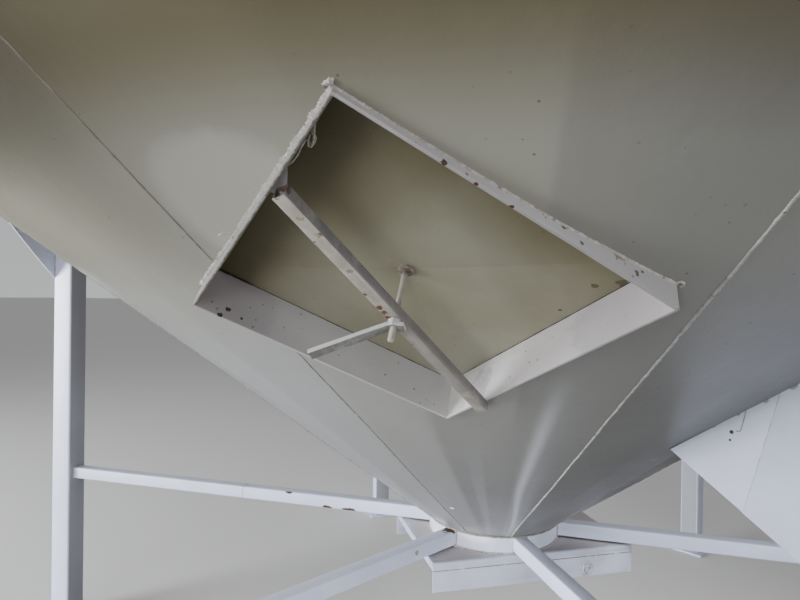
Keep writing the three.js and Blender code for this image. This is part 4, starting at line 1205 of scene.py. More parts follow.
def weld_bead(name, path, width, height, step=0.003, material=None, slot_name="frame"):
    """path is a list of (place, outward normal), closely enough spaced to be joined by straight lines."""
    global bead_count
    bead_count += 1
    lengths = [0.0]
    for (one, _), (two, _) in zip(path, path[1:]):
        lengths.append(lengths[-1] + (two - one).length)
    total = lengths[-1]
    count = max(4, int(total / step))

    def at(distance):
        index = 0
        while index < len(lengths) - 2 and lengths[index + 1] < distance:
            index += 1
        share = (distance - lengths[index]) / max(1e-9, lengths[index + 1] - lengths[index])
        place = path[index][0].lerp(path[index + 1][0], share)
        normal = path[index][1].lerp(path[index + 1][1], share).normalized()
        along = (path[index + 1][0] - path[index][0]).normalized()
        return place, normal, along.cross(normal).normalized()

    stations = [at(total * number / count) for number in range(count + 1)]
    bm = bmesh.new()
    bmesh.ops.create_grid(bm, x_segments=count, y_segments=BEAD_SIDES, size=1.0)
    for vert in bm.verts:
        number = round((vert.co.x + 1) / 2 * count)
        angle = (vert.co.y + 1) * math.pi
        place, normal, side = stations[number]
        distance = total * number / count
        probe = Vector((distance * 60, bead_count * 7.3, 0.0))
        wander = noise.noise(probe)
        swell = 1.0 + 0.45 * noise.noise(probe * 2.3)
        phase = distance / RIPPLE_PITCH * math.tau + 2.5 * wander
        ripple = 0.72 + 0.28 * math.sin(phase - 1.2 * abs(math.cos(angle)))
        across = math.cos(angle) * width / 2 * swell * (0.90 + 0.10 * math.sin(phase))
        across += wander * width * 0.16
        over = math.sin(angle) * height * (swell * ripple if angle < math.pi else 1.0)
        vert.co = place + side * across + normal * over
    bmesh.ops.remove_doubles(bm, verts=bm.verts, dist=MERGE_OWN)
    ends = [edge for edge in bm.edges if edge.is_boundary]
    bmesh.ops.holes_fill(bm, edges=ends, sides=BEAD_SIDES + 1)
    bmesh.ops.recalc_face_normals(bm, faces=bm.faces[:])
    return piece_from(bm, name, "silo", material or weld_paint, slot_name, corner=80.0)


print("ripple pitch", RIPPLE_PITCH)

# %% [markdown]
# Most welds follow a straight edge or a circle round the silo. A path is a list of places, each with the
# direction that is outwards there, so the bead knows which way to rise.

# %% Paths for beads
CIRCLE_PARTS = 180


def straight(start, end, normal):
    return [(start, normal), (end, normal)]


def circle(radius, height, normal_of):
    turns = [360.0 * number / CIRCLE_PARTS for number in range(CIRCLE_PARTS + 1)]
    return [(direction(turn) * radius + UP * height, normal_of(turn)) for turn in turns]


print("bead paths ready")

# %% [markdown]
# The cone is ten rolled sheets. Each was pressed rather than rolled smooth near the mouth, so a soft crease
# runs down every twelve degrees, and the sheet between two creases is nearly flat. A straight line is spun
# round the axis for each sheet, then its points are drawn in towards the chords, most of all at the mouth,
# and a slow noise adds the dents and waves of thin welded sheet.

# %% The cone's surface
CREASE_STEP = 12.0
FIRST_CREASE = 68.0
CREASE_REACH = 0.80
CREASE_LIFTS = (0.0, -0.0012, 0.0034, 0.0, 0.0022, -0.0010)
FLATNESS = (0.45, 1.0, 0.9, 0.7, 1.0, 0.8)
WAVE_HEIGHT = 0.0018


def drawn_in(radius, azimuth):
    turn = (azimuth - FIRST_CREASE) % 360.0
    facet = int(turn / CREASE_STEP) % len(FLATNESS)
    local = turn % CREASE_STEP - CREASE_STEP / 2
    half = math.radians(CREASE_STEP / 2)
    pull = FLATNESS[facet] * min(1.0, CREASE_REACH / radius)
    return radius * (1 - pull * (1 - math.cos(half) / math.cos(math.radians(local))))


def crease_lift(radius, azimuth):
    turn = (azimuth - FIRST_CREASE) % 360.0 / CREASE_STEP
    crease = int(turn)
    first = CREASE_LIFTS[crease % len(CREASE_LIFTS)]
    second = CREASE_LIFTS[(crease + 1) % len(CREASE_LIFTS)]
    start = max(0.0, min(1.0, (radius - MOUTH_RADIUS) / 0.15))
    stop = max(0.0, min(1.0, (SHELL_RADIUS - radius) / 0.9))
    return (first + (second - first) * (turn - crease)) * start * stop


def wave(place, radius):
    edge = min(radius - MOUTH_RADIUS, SHELL_RADIUS - radius) / 0.12
    fade = max(0.0, min(1.0, edge))
    return WAVE_HEIGHT * fade * (noise.noise(place * 2.6) + 0.5 * noise.noise(place * 7.0))


def sheet_point(radius, azimuth, off=0.0):
    place = direction(azimuth) * radius
    place.z = cone_height(radius)
    height = wave(place, radius) + crease_lift(radius, azimuth) + off
    return direction(azimuth) * drawn_in(radius, azimuth) + UP * place.z + cone_normal(azimuth) * height


def azimuth_of(place):
    return math.degrees(math.atan2(-place.y, place.x)) % 360.0


def into_cone(place):
    return -cone_normal(azimuth_of(place))


print("creases every", CREASE_STEP, "degrees")

# %% [markdown]
# Two of these sheets have the hatch's hole. Only the faces near the hole are cut, with the bisect tool,
# once along each side of the square. A cut through the whole sheet would leave long thin faces that show as
# lines in the gloss. The faces inside the square are deleted before the sheet gets its thickness.

# %% The cone's sheets
PANELS = 10
PANEL_SPAN = 36.0
PANEL_STEPS = 36
LINE_CUTS = 27
HOLE_MARGIN = 0.06


def faces_within(bm, half):
    chosen = []
    for face in bm.faces:
        middle = into_hatch @ face.calc_center_median()
        if max(abs(middle.x), abs(middle.y)) < half and abs(middle.z) < 0.3:
            chosen.append(face)
    return chosen


def cone_sheet(number):
    first = FIRST_CREASE + PANEL_SPAN * (number - 1)
    bm = bmesh.new()
    ends = (MOUTH_RADIUS, SHELL_RADIUS)
    line_of(bm, [direction(first) * radius + UP * cone_height(radius) for radius in ends])
    bmesh.ops.subdivide_edges(bm, edges=bm.edges[:], cuts=LINE_CUTS)
    spun(bm, -math.radians(PANEL_SPAN), PANEL_STEPS)
    for vert in bm.verts:
        vert.co = sheet_point(vert.co.xy.length, azimuth_of(vert.co))
    if number in (1, 2):
        for side, sign in ((hatch_x, 1), (hatch_x, -1), (hatch_y, 1), (hatch_y, -1)):
            near = faces_within(bm, HATCH_HALF + HOLE_MARGIN)
            edges = list({edge for face in near for edge in face.edges})
            verts = list({vert for face in near for vert in face.verts})
            bmesh.ops.bisect_plane(
                bm, geom=verts + edges + near, dist=MERGE_OWN,
                plane_co=hatch_centre + side * sign * HATCH_HALF, plane_no=side * sign,
            )
        bmesh.ops.delete(bm, geom=faces_within(bm, HATCH_HALF), context="FACES")
    thickened(bm, CONE_SHEET, into_cone)
    node = "cone_panel_%d" % number
    return piece_from(bm, node + "_dressed", "silo", cone_paint, "shell", node, corner=40.0)


cone_sheets = [cone_sheet(number) for number in range(1, PANELS + 1)]
print("cone sheets", len(cone_sheets), "faces in the first", len(cone_sheets[0].data.polygons))

# %% [markdown]
# A weld closes each seam between two sheets. It runs from the mouth to the rim on the cone's outer face,
# and the path is sampled on the same surface as the sheets, so the bead lies in every dent and crease.

# %% The cone's seams
SEAM_PARTS = 120


def outside_hatch(place):
    local = into_hatch @ place
    return max(abs(local.x), abs(local.y)) > HATCH_HALF + 0.002


def seam_stretches(seam):
    first, last = MOUTH_RADIUS + 0.012, SHELL_RADIUS - 0.008
    stretches = [[]]
    for part in range(SEAM_PARTS + 1):
        place = sheet_point(first + (last - first) * part / SEAM_PARTS, seam)
        if outside_hatch(place):
            stretches[-1].append((place, cone_normal(seam)))
        elif stretches[-1]:
            stretches.append([])
    return [stretch for stretch in stretches if len(stretch) > 1]


for number in range(PANELS):
    seam = FIRST_CREASE + PANEL_SPAN * number
    near = number in (0, 1)
    seam_kind = seam_paint if number == 0 else seam_paint_dull
    for part, stretch in enumerate(seam_stretches(seam)):
        name = "cone_seam_%d_%d" % (number + 1, part + 1)
        width, height = (0.0075, 0.0028) if number == 0 else (0.006, 0.0016)
        step = 0.0018 if near else 0.006
        weld_bead(name, stretch, width, height, step, seam_kind, "shell")
print("beads", bead_count)
# %% [markdown]
# The barrel is six tall sheets with upright seams and a girth weld every 1.22 metres, the width of the coil
# that the sheets were cut from. Each one is an upright line spun through sixty degrees, and its thickness
# is laid inwards, so that the outer face keeps the CAD's radius.

# %% Barrel
SHEETS_ROUND = 6
SHEET_SPAN = 60
SHEET_STEPS = 40
BARREL_SHEET = 0.003
BARREL_SEAM = 32.0
GIRTH_STEP = 1.2193


def spun_sheet(profile, first, thickness, inward):
    bm = bmesh.new()
    line_of(bm, [direction(first) * radius + UP * height for radius, height in profile])
    spun(bm, -math.radians(SHEET_SPAN), SHEET_STEPS)
    thickened(bm, thickness, inward)
    return bm


def to_axis(place):
    return -direction(azimuth_of(place))


barrel_profile = [(SHELL_RADIUS, BARREL_BOTTOM + GIRTH_STEP * part / 4) for part in range(12)]
barrel_profile.append((SHELL_RADIUS, BARREL_TOP))
for number in range(SHEETS_ROUND):
    first = BARREL_SEAM + SHEET_SPAN * number
    bm = spun_sheet(barrel_profile, first, BARREL_SHEET, to_axis)
    node = "barrel_panel_%d" % (number + 1)
    piece_from(bm, node + "_dressed", "silo", shell_paint, "shell", node)
    foot = direction(first) * SHELL_RADIUS
    path = straight(foot + UP * (BARREL_BOTTOM + 0.01), foot + UP * (BARREL_TOP - 0.03), direction(first))
    weld_bead("barrel_seam_%d" % (number + 1), path, 0.010, 0.0022, 0.006, slot_name="shell")
for number in range(3):
    height = BARREL_BOTTOM + GIRTH_STEP * number - (0.0 if number else 0.002)
    path = circle(SHELL_RADIUS, height, direction)
    weld_bead("girth_weld_%d" % (number + 1), path, 0.011, 0.0024, 0.008, slot_name="shell")
print("barrel height", round(BARREL_TOP - BARREL_BOTTOM, 3))

# %% [markdown]
# The roof is not in the picture. A silo of this kind has a cone of sheets over the barrel, with a filler
# neck and a lid at its top. The sheets come from a bent line: down the slope, over the eave and down its
# short lip. The neck and the lid are softened copies of the CAD's.

# %% Roof, neck and lid
ROOF_PITCH = math.radians(30)
ROOF_SLOPE = math.tan(ROOF_PITCH)
ROOF_SHEET = 0.003
ROOF_SEAT = 0.0003
ROOF_HOLE = 0.300
EAVE_RADIUS = SHELL_RADIUS + 0.006
EAVE_LIP = 0.020
neck_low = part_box("roof_neck")[0]
lid_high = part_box("roof_lid")[1]


def roof_height(radius):
    return BARREL_TOP + ROOF_SEAT + ROOF_SLOPE * (SHELL_RADIUS - radius) + ROOF_SHEET / math.cos(ROOF_PITCH)


def roof_normal(azimuth):
    return direction(azimuth) * math.sin(ROOF_PITCH) + UP * math.cos(ROOF_PITCH)


def under_roof(place):
    if place.z < roof_height(EAVE_RADIUS) - 0.001:
        return to_axis(place)
    return -roof_normal(azimuth_of(place))


def roof_place(azimuth, radius):
    return direction(azimuth) * radius + UP * roof_height(radius)


roof_radii = [ROOF_HOLE + (EAVE_RADIUS - ROOF_HOLE) * part / 10 for part in range(11)]
roof_profile = [(radius, roof_height(radius)) for radius in roof_radii]
roof_profile.append((EAVE_RADIUS, BARREL_TOP - EAVE_LIP))
for number in range(SHEETS_ROUND):
    first = BARREL_SEAM + SHEET_SPAN / 2 + SHEET_SPAN * number
    bm = spun_sheet(roof_profile, first, ROOF_SHEET, under_roof)
    node = "roof_panel_%d" % (number + 1)
    piece_from(bm, node + "_dressed", "silo", shell_paint, "shell", node)
    top, bottom = roof_place(first, ROOF_HOLE + 0.02), roof_place(first, EAVE_RADIUS - 0.01)
    path = straight(top, bottom, roof_normal(first))
    weld_bead("roof_seam_%d" % (number + 1), path, 0.012, 0.0026, 0.007, slot_name="shell")
softened("roof_neck", 0.0008, shell_paint, "shell")
softened("roof_lid", 0.0015, shell_paint, "shell")
weld_bead("neck_weld", circle(ROOF_HOLE + 0.021, neck_low.z + 0.001, lambda turn: UP), 0.008, 0.003, 0.006)
print("roof top", round(lid_high.z, 3))

# %% [markdown]
# The collar ring is rolled flat bar, welded to the cone's mouth above and to the gate's flanged plate
# below. Its closed section is spun once round, and its sharp edges are bevelled. The weld on top is heavy
# and uneven, as in the photograph.

# %% Collar ring
RING_STEPS = 120
SEAT_GAP = 0.0006
bm = bmesh.new()
ring_section = (
    (MOUTH_RADIUS, RING_BOTTOM),
    (RING_RADIUS, RING_BOTTOM),
    (RING_RADIUS, cone_height(RING_RADIUS) - SEAT_GAP),
    (MOUTH_RADIUS, cone_height(MOUTH_RADIUS) - SEAT_GAP),
)
line_of(bm, [direction(0) * radius + UP * height for radius, height in ring_section], closed=True)
spun(bm, math.tau, RING_STEPS, whole_turn=True)
bmesh.ops.recalc_face_normals(bm, faces=bm.faces[:])
rounded(bm, 0.0012)
piece_from(bm, "collar_ring_dressed", "silo", ring_paint, "frame", "collar_ring")


def weld_lean(turn):
    return (direction(turn) - UP * 0.7).normalized()


def foot_lean(turn):
    return (direction(turn) + UP).normalized()


ring_weld = circle(RING_RADIUS + 0.002, cone_height(RING_RADIUS) - 0.001, weld_lean)
# Its dull dark paint is partly painted shade, for the thin dark line where the cone ends on the ring.
weld_bead("ring_top_weld", ring_weld, 0.010, 0.0035, material=seam_paint_dull)
ring_foot_weld = circle(RING_RADIUS + 0.001, RING_BOTTOM + 0.001, foot_lean)
weld_bead("ring_foot_weld", ring_foot_weld, 0.010, 0.004)
print("ring height", round(ring_high.z - RING_BOTTOM, 4))

# %% [markdown]
# Legs and spokes are square tube. Cold-formed tube has rounded long edges, and they catch a soft line of
# light, so the section is made with real radii: a square whose corners are bevelled, inset by the wall,
# with the middle taken out, and then extruded.

# %% Square tube
def rounded_square(size, round_by, segments):
    bm = bmesh.new()
    bmesh.ops.create_grid(bm, x_segments=1, y_segments=1, size=size / 2)
    bmesh.ops.bevel(
        bm, geom=bm.verts[:], offset=round_by, offset_type="OFFSET", affect="VERTICES", segments=segments,
        profile=0.5, clamp_overlap=True, material=-1,
    )
    return bm


def extruded(bm, length):
    grown = bmesh.ops.extrude_face_region(bm, geom=bm.faces[:], use_keep_orig=True)
    lifted = [item for item in grown["geom"] if isinstance(item, bmesh.types.BMVert)]
    bmesh.ops.translate(bm, vec=(0, 0, length), verts=lifted)
    bmesh.ops.recalc_face_normals(bm, faces=bm.faces[:])


def square_tube(size, wall, round_by, length):
    bm = rounded_square(size, round_by, 4)
    core = bm.faces[:]
    bmesh.ops.inset_region(bm, faces=core, thickness=wall, use_boundary=True, use_even_offset=True)
    bmesh.ops.delete(bm, geom=core, context="FACES")
    extruded(bm, length)
    return bm


print("square tube ready")

# %% [markdown]
# A leg runs from its foot plate to the cone, and its top is cut to the cone's slope with the bisect tool.
# The cut leaves the tube open there, so the inner and the outer rim are bridged.

# %% Legs and feet
LEG_SIZE = 0.1016
LEG_WALL = 0.005
LEG_ROUND = 0.009
LEG_RADIUS = 2.080
FOOT_PLATE = 0.010
FOOT_SIZE = 0.180
FOOT_ROUND = 0.008


def leg_tube(azimuth):
    bm = square_tube(LEG_SIZE, LEG_WALL, LEG_ROUND, BARREL_BOTTOM)
    bmesh.ops.translate(bm, vec=(LEG_RADIUS, 0, FOOT_PLATE), verts=bm.verts)
    under_cone = (LEG_RADIUS, 0, cone_height(LEG_RADIUS) - SEAT_GAP)
    rim = cut_away(bm, under_cone, (-math.sin(CONE_ANGLE), 0, math.cos(CONE_ANGLE)))
    bmesh.ops.bridge_loops(bm, edges=rim)
    bmesh.ops.recalc_face_normals(bm, faces=bm.faces[:])
    bmesh.ops.transform(bm, matrix=turned(azimuth), verts=bm.verts)
    return bm


def leg_foot(azimuth):
    bm = rounded_square(FOOT_SIZE, FOOT_ROUND, 3)
    extruded(bm, FOOT_PLATE)
    rounded(bm, 0.0012)
    bmesh.ops.translate(bm, vec=(LEG_RADIUS, 0, 0), verts=bm.verts)
    bmesh.ops.transform(bm, matrix=turned(azimuth), verts=bm.verts)
    return bm


print("leg size", LEG_SIZE, "foot size", FOOT_SIZE)

# %% [markdown]
# On both sides of each leg a gusset plate, rolled to the rim, spreads the load into the cone. It starts as
# an upright line spun a few degrees round the axis, is cut along its slanting lower edge, and is thickened
# inwards.

# %% Gusset plates
WING_WIDTH = 0.560
WING_DROP = 0.500
WING_PLATE = 0.006
WING_STEPS = 18
WING_RADIUS = LEG_RADIUS + LEG_SIZE / 2
wing_rim = cone_height(WING_RADIUS) - 0.0046


def wing_corners(sign):
    low = Vector((0, sign * (LEG_SIZE / 2 - 0.002), wing_rim - WING_DROP))
    far = Vector((0, sign * (LEG_SIZE / 2 + WING_WIDTH), wing_rim))
    return low, far


def wing_plate(azimuth, sign):
    low, far = wing_corners(sign)
    begin = math.degrees(math.asin(low.y / WING_RADIUS))
    end = math.degrees(math.asin(far.y / WING_RADIUS))
    bm = bmesh.new()
    line_of(bm, [direction(-begin) * WING_RADIUS + UP * height for height in (low.z, wing_rim)])
    spun(bm, math.radians(end - begin), WING_STEPS)
    slant = (far - low).normalized()
    cut_away(bm, low, Vector((0, slant.z * sign, -abs(slant.y))))
    thickened(bm, WING_PLATE, to_axis)
    rounded(bm, 0.0009)
    bmesh.ops.transform(bm, matrix=turned(azimuth), verts=bm.verts)
    return bm


print("gusset", WING_WIDTH, "by", WING_DROP)

# %% [markdown]
# Each leg is welded all round: down the gussets, along both sides of the tube's top and across its inner
# face. The paths are worked out once for a leg at azimuth 0, and turned to where the leg stands.

# %% Welds of the legs, and all six legs
def leg_welds(name, azimuth):
    place = turned(azimuth)
    half = LEG_SIZE / 2
    inside, outside = LEG_RADIUS - half, WING_RADIUS
    lean = (place @ Vector((-1, 0, -0.2))).normalized()

    def corner(radius, across, height):
        return place @ Vector((radius, across, height))

    for sign in (1, -1):
        low = wing_corners(sign)[0]
        side = (place @ Vector((-0.7, sign * 0.7, 0))).normalized()
        foot = corner(WING_RADIUS - 0.006, sign * half, low.z + 0.004)
        head = corner(WING_RADIUS - 0.006, sign * half, wing_rim - 0.01)
        weld_bead("%s_wing_weld_%d" % (name, sign + 2), straight(foot, head, side), 0.010, 0.004, 0.005)
        inner = corner(inside, sign * half, cone_height(inside) - 0.001)
        outer = corner(outside, sign * half, cone_height(outside) - 0.001)
        weld_bead("%s_side_weld_%d" % (name, sign + 2), straight(inner, outer, side), 0.012, 0.005, 0.005)
    left = corner(inside, -half, cone_height(inside) - 0.001)
    right = corner(inside, half, cone_height(inside) - 0.001)
    weld_bead(name + "_front_weld", straight(left, right, lean), 0.012, 0.005, 0.004)
for number in range(6):
    node = "leg_%d" % (number + 1)
    azimuth = 60 * number
    piece_from(leg_tube(azimuth), node + "_tube", "silo", leg_paint, "frame", node)
    piece_from(leg_foot(azimuth), node + "_foot", "silo", frame_paint, "frame", node)
    for sign in (1, -1):
        wing = wing_plate(azimuth, sign)
        piece_from(wing, "%s_wing_%d" % (node, sign + 2), "silo", frame_paint, "frame", node)
    leg_welds(node, azimuth)
print("legs done, beads", bead_count)

# %% [markdown]
# A spoke ties each leg to the ring, so that the load on the cone can't spread the legs. It is the smaller
# square tube laid on its side, open at both ends and welded round at the ring and at the leg.

# %% Spokes
SPOKE_SIZE = 0.0508
SPOKE_WALL = 0.003
SPOKE_ROUND = 0.0055
SPLICE_RADIUS = 1.10
SPOKE_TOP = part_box("spoke_1")[1].z
spoke_start = RING_RADIUS - 0.0012
spoke_end = LEG_RADIUS - LEG_SIZE / 2 - 0.0003
spoke_middle = SPOKE_TOP - SPOKE_SIZE / 2


def spoke(azimuth):
    bm = square_tube(SPOKE_SIZE, SPOKE_WALL, SPOKE_ROUND, spoke_end - spoke_start)
    bmesh.ops.rotate(bm, cent=(0, 0, 0), matrix=Matrix.Rotation(math.radians(90), 3, "Y"), verts=bm.verts)
    bmesh.ops.translate(bm, vec=(spoke_start, 0, spoke_middle), verts=bm.verts)
    bmesh.ops.transform(bm, matrix=turned(azimuth), verts=bm.verts)
    return bm


def round_spoke(azimuth, along, half):
    place = turned(azimuth)
    corners = [(-1, -1), (-1, 1), (1, 1), (1, -1), (-1, -1)]
    return [
        (
            place @ Vector((along, y * half, spoke_middle + z * half)),
            (place @ Vector((0, y, z))).normalized(),
        )
        for y, z in corners
    ]


for number in range(6):
    node = "spoke_%d" % (number + 1)
    azimuth = 60 * number
    piece_from(spoke(azimuth), node + "_dressed", "silo", frame_paint, "frame", node)
    at_ring = round_spoke(azimuth, RING_RADIUS + 0.001, SPOKE_SIZE / 2 - 0.001)
    weld_bead(node + "_ring_weld", at_ring, 0.010, 0.004)
    at_leg = round_spoke(azimuth, spoke_end - 0.002, SPOKE_SIZE / 2 - 0.001)
    weld_bead(node + "_leg_weld", at_leg, 0.009, 0.003)
splice = round_spoke(180, SPLICE_RADIUS, SPOKE_SIZE / 2 - 0.0004)
weld_bead("spoke_4_splice", splice, 0.005, 0.0016, 0.002)
print("spoke length", round(spoke_end - spoke_start, 3))
# %% [markdown]
# The slide gate hangs under the ring: a flanged top plate, a frame of plates, and a slide that a shaft with
# two pinions pushes along. The shaft comes first. Its near end shows through the frame's side plate as a
# stepped cap. So the CAD's shaft is cut off at the plate, and the cap is spun from its outline, given as
# radius and distance out from the plate. It rides on the shaft's body and turns with it.

# %% The gate's shaft and its cap
SHAFT_OUTLINE = (
    (0.0, 0.0150), (0.0045, 0.0145), (0.0070, 0.0120), (0.0080, 0.0075), (0.0125, 0.0065),
    (0.0140, 0.0110), (0.0165, 0.0128), (0.0190, 0.0110), (0.0200, 0.0050), (0.0255, 0.0042),
    (0.0270, 0.0030), (0.0270, 0.0004), (0.0, 0.0004),
)
CAP_STEPS = 40
GATE_ALONG = direction(-30)
GATE_NEAR = direction(60)
SHAFT_PLACE = GATE_ALONG * 0.256 + UP * 0.605 + GATE_NEAR * 0.2624


def turned_solid(bm, outline, steps):
    """Spins an outline that starts and ends on the axis, and closes the poles."""
    line_of(bm, [(radius, 0, height) for radius, height in outline])
    spun(bm, math.tau, steps, whole_turn=True)
    bmesh.ops.remove_doubles(bm, verts=bm.verts, dist=MERGE_OWN)
    bmesh.ops.recalc_face_normals(bm, faces=bm.faces[:])


def gate_shaft_body():
    bm = merged_copy("gate_shaft")
    rim = cut_away(bm, SHAFT_PLACE, GATE_NEAR)
    bmesh.ops.contextual_create(bm, geom=rim)
    return rounded(bm, 0.0008)


def gate_shaft_cap():
    bm = bmesh.new()
    turned_solid(bm, SHAFT_OUTLINE, CAP_STEPS)
    outwards = GATE_NEAR.to_track_quat("Z", "Y").to_matrix().to_4x4()
    bmesh.ops.transform(bm, matrix=Matrix.Translation(SHAFT_PLACE) @ outwards, verts=bm.verts)
    return bm


shaft_body = nodes["gate_shaft"]["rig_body"]
piece_from(gate_shaft_body(), "gate_shaft_dressed", shaft_body, bare_steel, "steel", "gate_shaft")
piece_from(gate_shaft_cap(), "gate_shaft_cap", shaft_body, cap_paint, "gate", corner=50.0)
print("shaft body", shaft_body)

# %% [markdown]
# The top plate, the frame and the slide have the CAD's shapes with their edges rounded, and their finish
# carries the grain dust that lies on everything level.

# %% Plates of the slide gate
softened("gate_top_plate", 0.0012, gate_paint, "gate")
softened("gate_frame", 0.0010, gate_paint, "gate")
softened("gate_slide", 0.0008, bare_steel, "steel")

# %% [markdown]
# The access hatch is a square box of plates sunk into the cone, standing on one corner. The cover is pulled
# against its inner end by a threaded rod, which hangs from a bar that lies across the box. The frame, the
# cover, the bar and the crank are softened copies of the CAD's.

# %% Hatch frame, cover, bar and crank
softened("hatch_frame", 0.0010, hatch_paint, "hatch")
softened("hatch_cover", 0.0008, cover_paint, "cover")
softened("clamp_bar", 0.0016, bar_paint, "hatch", segments=3)
softened("hatch_handle", 0.0014, crank_paint, "hatch", segments=3)

# %% [markdown]
# The welds round the box follow the line where each plate leaves the cone. The cone is dented, so that line
# has no formula: each point of it is found by halving the height between a place inside and one outside.

# %% Welds round the hatch
SEARCH_FROM = -0.12
SEARCH_TO = 0.04
SEARCH_ROUNDS = 40


def hatch_on_cone(x, y):
    low, high = SEARCH_FROM, SEARCH_TO
    for _ in range(SEARCH_ROUNDS):
        middle = (low + high) / 2
        place = hatch_point(x, y, middle)
        azimuth = azimuth_of(place)
        surface = sheet_point(place.xy.length, azimuth)
        if (place - surface).dot(cone_normal(azimuth)) > 0:
            high = middle
        else:
            low = middle
    return hatch_point(x, y, low)


def hatch_side_weld(name, side, sign, width, height):
    path = []
    for part in range(41):
        along = (part / 20 - 1) * HATCH_HALF
        x, y = (sign * HATCH_HALF, along) if side == "x" else (along, sign * HATCH_HALF)
        out = hatch_x * sign if side == "x" else hatch_y * sign
        place = hatch_on_cone(x, y)
        path.append((place, (cone_normal(azimuth_of(place)) + out).normalized()))
    weld_bead(name, path, width, height, 0.0016, slot_name="hatch")


hatch_side_weld("hatch_weld_top_left", "x", 1, 0.013, 0.0065)
hatch_side_weld("hatch_weld_low_right", "x", -1, 0.007, 0.003)
hatch_side_weld("hatch_weld_low_left", "y", 1, 0.007, 0.003)
hatch_side_weld("hatch_weld_top_right", "y", -1, 0.0080, 0.0030)
print("hatch welds done", bead_count)

# %% [markdown]
# Small things make the hatch look used. A lump of weld sits on its top corner and a ring of rusty weld on
# the right one. Two strands of baler twine hang at the inside of the upper left plate, and a short loose
# end of it sticks out on the other side. Each is a bead along a short path, and cutting the path's corners
# twice makes it a soft curve.

# %% Lumps and twine
LUMPS = (
    ((0.3130, -0.3190, -0.012), (0.3190, -0.3160, -0.009), (0.3215, -0.3060, -0.010)),
    (
        (-0.3077, -0.3120, -0.0495), (-0.3093, -0.3215, -0.0510), (-0.3215, -0.3215, -0.0530),
        (-0.3220, -0.3120, -0.0520),
    ),
)
TWINE = (
    (0.3061, -0.2369, -0.030), (0.3016, -0.2102, -0.030), (0.2909, -0.2095, -0.030),
    (0.2889, -0.1887, -0.030), (0.3013, -0.1986, -0.030), (0.3030, -0.1935, -0.020),
    (0.3008, -0.1740, -0.015), (0.3024, -0.1607, -0.012), (0.3067, -0.1474, -0.012),
)
LOOSE_END = (
    (0.3240, 0.0440, 0.000), (0.3330, 0.0450, 0.003), (0.3380, 0.0500, 0.004), (0.3370, 0.0590, 0.002),
)
TWINE_LOOP = (
    (0.3045, -0.2330, -0.028), (0.2985, -0.2190, -0.026), (0.2935, -0.2060, -0.026),
    (0.2900, -0.1930, -0.026), (0.2930, -0.1880, -0.028), (0.2985, -0.1960, -0.028),
    (0.3005, -0.2080, -0.028),
)
TWINE_WIDTH = 0.0034
TWINE_HEIGHT = 0.0020
TWINE_STEP = 0.0010
CORNER_CUTS = 2


def soft_path(points):
    places = [hatch_point(*point) for point in points]
    for _ in range(CORNER_CUTS):
        cut = [places[0]]
        for one, two in zip(places, places[1:]):
            cut += [one.lerp(two, 0.25), one.lerp(two, 0.75)]
        places = cut + [places[-1]]
    return [(place, hatch_out) for place in places]


weld_bead("hatch_lump_1", soft_path(LUMPS[0]), 0.012, 0.005, 0.0015, slot_name="hatch")
weld_bead("hatch_lump_2", soft_path(LUMPS[1]), 0.0045, 0.003, 0.0010, slot_name="hatch")
for number, points in enumerate((TWINE, LOOSE_END, TWINE_LOOP)):
    name = "twine_%d" % (number + 1)
    weld_bead(name, soft_path(points), TWINE_WIDTH, TWINE_HEIGHT, TWINE_STEP, string_fibre, "hatch")
print("lumps and twine", bead_count)

# %% [markdown]
# The rod is all-thread. Its outline is a zigzag line, one tooth to each pitch of 1.75 mm, spun round the
# rod's axis. A ring for each thread would do, but a real thread's teeth show as this same zigzag from the
# side. The washer and the head under the cover are short cylinders on the same axis.

# %% Threaded rod
ROD_X = 0.006
ROD_Y = 0.028
ROD_RADIUS = 0.006
ROD_STEPS = 20
THREAD_PITCH = 0.00175
THREAD_DEPTH = 0.0010
WASHER_AND_HEAD = ((-0.1000, -0.0953, 0.016, 32), (-0.1133, -0.1046, 0.014, 6))
rod_bottom = -HATCH_DEPTH - 0.0063
rod_top = 0.062
bm = bmesh.new()
outline = [(0.0, rod_bottom)]
height = rod_bottom
while height < rod_top - THREAD_PITCH:
    outline.append((ROD_RADIUS - THREAD_DEPTH, height))
    outline.append((ROD_RADIUS, height + THREAD_PITCH / 2))
    height += THREAD_PITCH
outline += [(ROD_RADIUS - THREAD_DEPTH, rod_top), (0.0, rod_top)]
turned_solid(bm, outline, ROD_STEPS)
for bottom, top, radius, sides in WASHER_AND_HEAD:
    bmesh.ops.create_cone(
        bm, cap_ends=True, segments=sides, radius1=radius, radius2=radius, depth=top - bottom,
        matrix=Matrix.Translation((0, 0, (top + bottom) / 2)),
    )
bmesh.ops.transform(bm, matrix=hatch_place @ Matrix.Translation((ROD_X, ROD_Y, 0)), verts=bm.verts)
rod_body = nodes["hatch_rod"]["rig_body"]
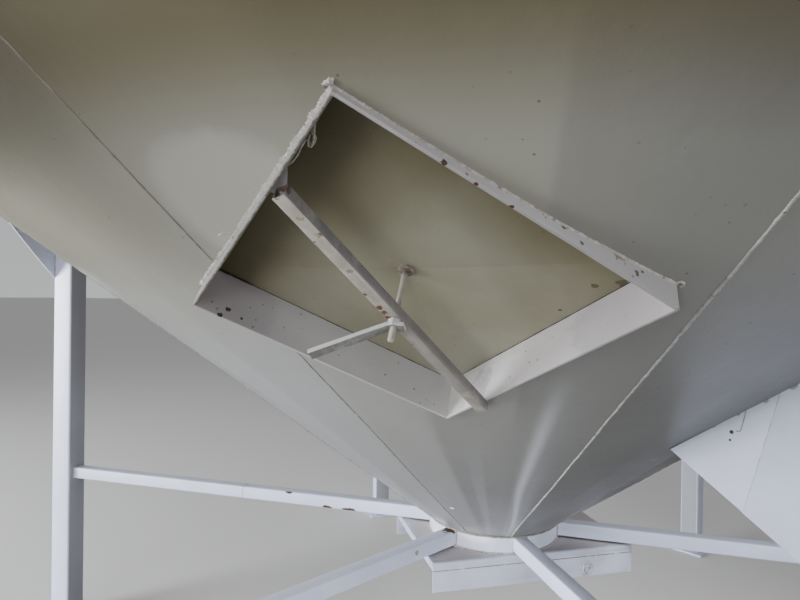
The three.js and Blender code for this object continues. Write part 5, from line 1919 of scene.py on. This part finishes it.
piece_from(bm, "hatch_rod_dressed", rod_body, rod_paint, "steel", "hatch_rod", corner=60.0)
print("rod length", round(rod_top - rod_bottom, 4))

# %% [markdown]
# The air duct is folded sheet. Its box and end cover are softened copies. On the side that faces the hatch
# a second sheet is lapped over the first, and the slanting edge shows as a line, so the lapped sheet is the
# box's side face, cut along that line with the bisect tool and given its thickness outwards.

# %% Air duct and its lapped sheet
LAP_TOP = (1.0517, 1.3692)
LAP_LOW = (0.9769, 1.0690)
LAP_SHEET = 0.0015
FACES_SIDE = 0.99
SMALLEST_SIDE = 0.05

softened("duct_box", 0.0018, duct_paint, "frame")
softened("duct_cover", 0.0012, duct_paint, "frame")


def not_the_side(face):
    return face.normal.dot(duct_side) < FACES_SIDE or face.calc_area() < SMALLEST_SIDE


def duct_lap():
    bm = merged_copy("duct_box")
    bmesh.ops.delete(bm, geom=[face for face in bm.faces if not_the_side(face)], context="FACES")
    top, low = duct_point(*LAP_TOP), duct_point(*LAP_LOW)
    keep_out = duct_side.cross(top - low).normalized()
    if keep_out.dot(DUCT_ALONG) > 0:
        keep_out.negate()
    cut_away(bm, low, keep_out)
    thickened(bm, LAP_SHEET, lambda place: duct_side)
    return bm


print("lap from", LAP_TOP, "to", LAP_LOW)

# %% [markdown]
# A thin raised line of old drip leads to one of the duct's small holes, and another fills the edge of the
# lap. Both are thin beads on the duct's side.

# %% The duct's drip and joint line
DRIP = (
    (0.9790, 1.3200), (0.9740, 1.2950), (0.9690, 1.2760), (0.9668, 1.2640), (0.9630, 1.2600),
    (0.9560, 1.2600),
)
drip_path = [(duct_point(along, height), duct_side) for along, height in DRIP]
weld_bead("duct_drip", drip_path, 0.0036, 0.0010, 0.002, duct_joint)
joint_path = straight(duct_point(*LAP_TOP), duct_point(*LAP_LOW), duct_side)
weld_bead("duct_joint_line", joint_path, 0.0032, 0.0016, 0.003, duct_joint)
lap = piece_from(duct_lap(), "duct_lap_sheet", "silo", duct_paint_lap, "frame")
print("lapped sheet", [round(size, 3) for size in lap.dimensions])
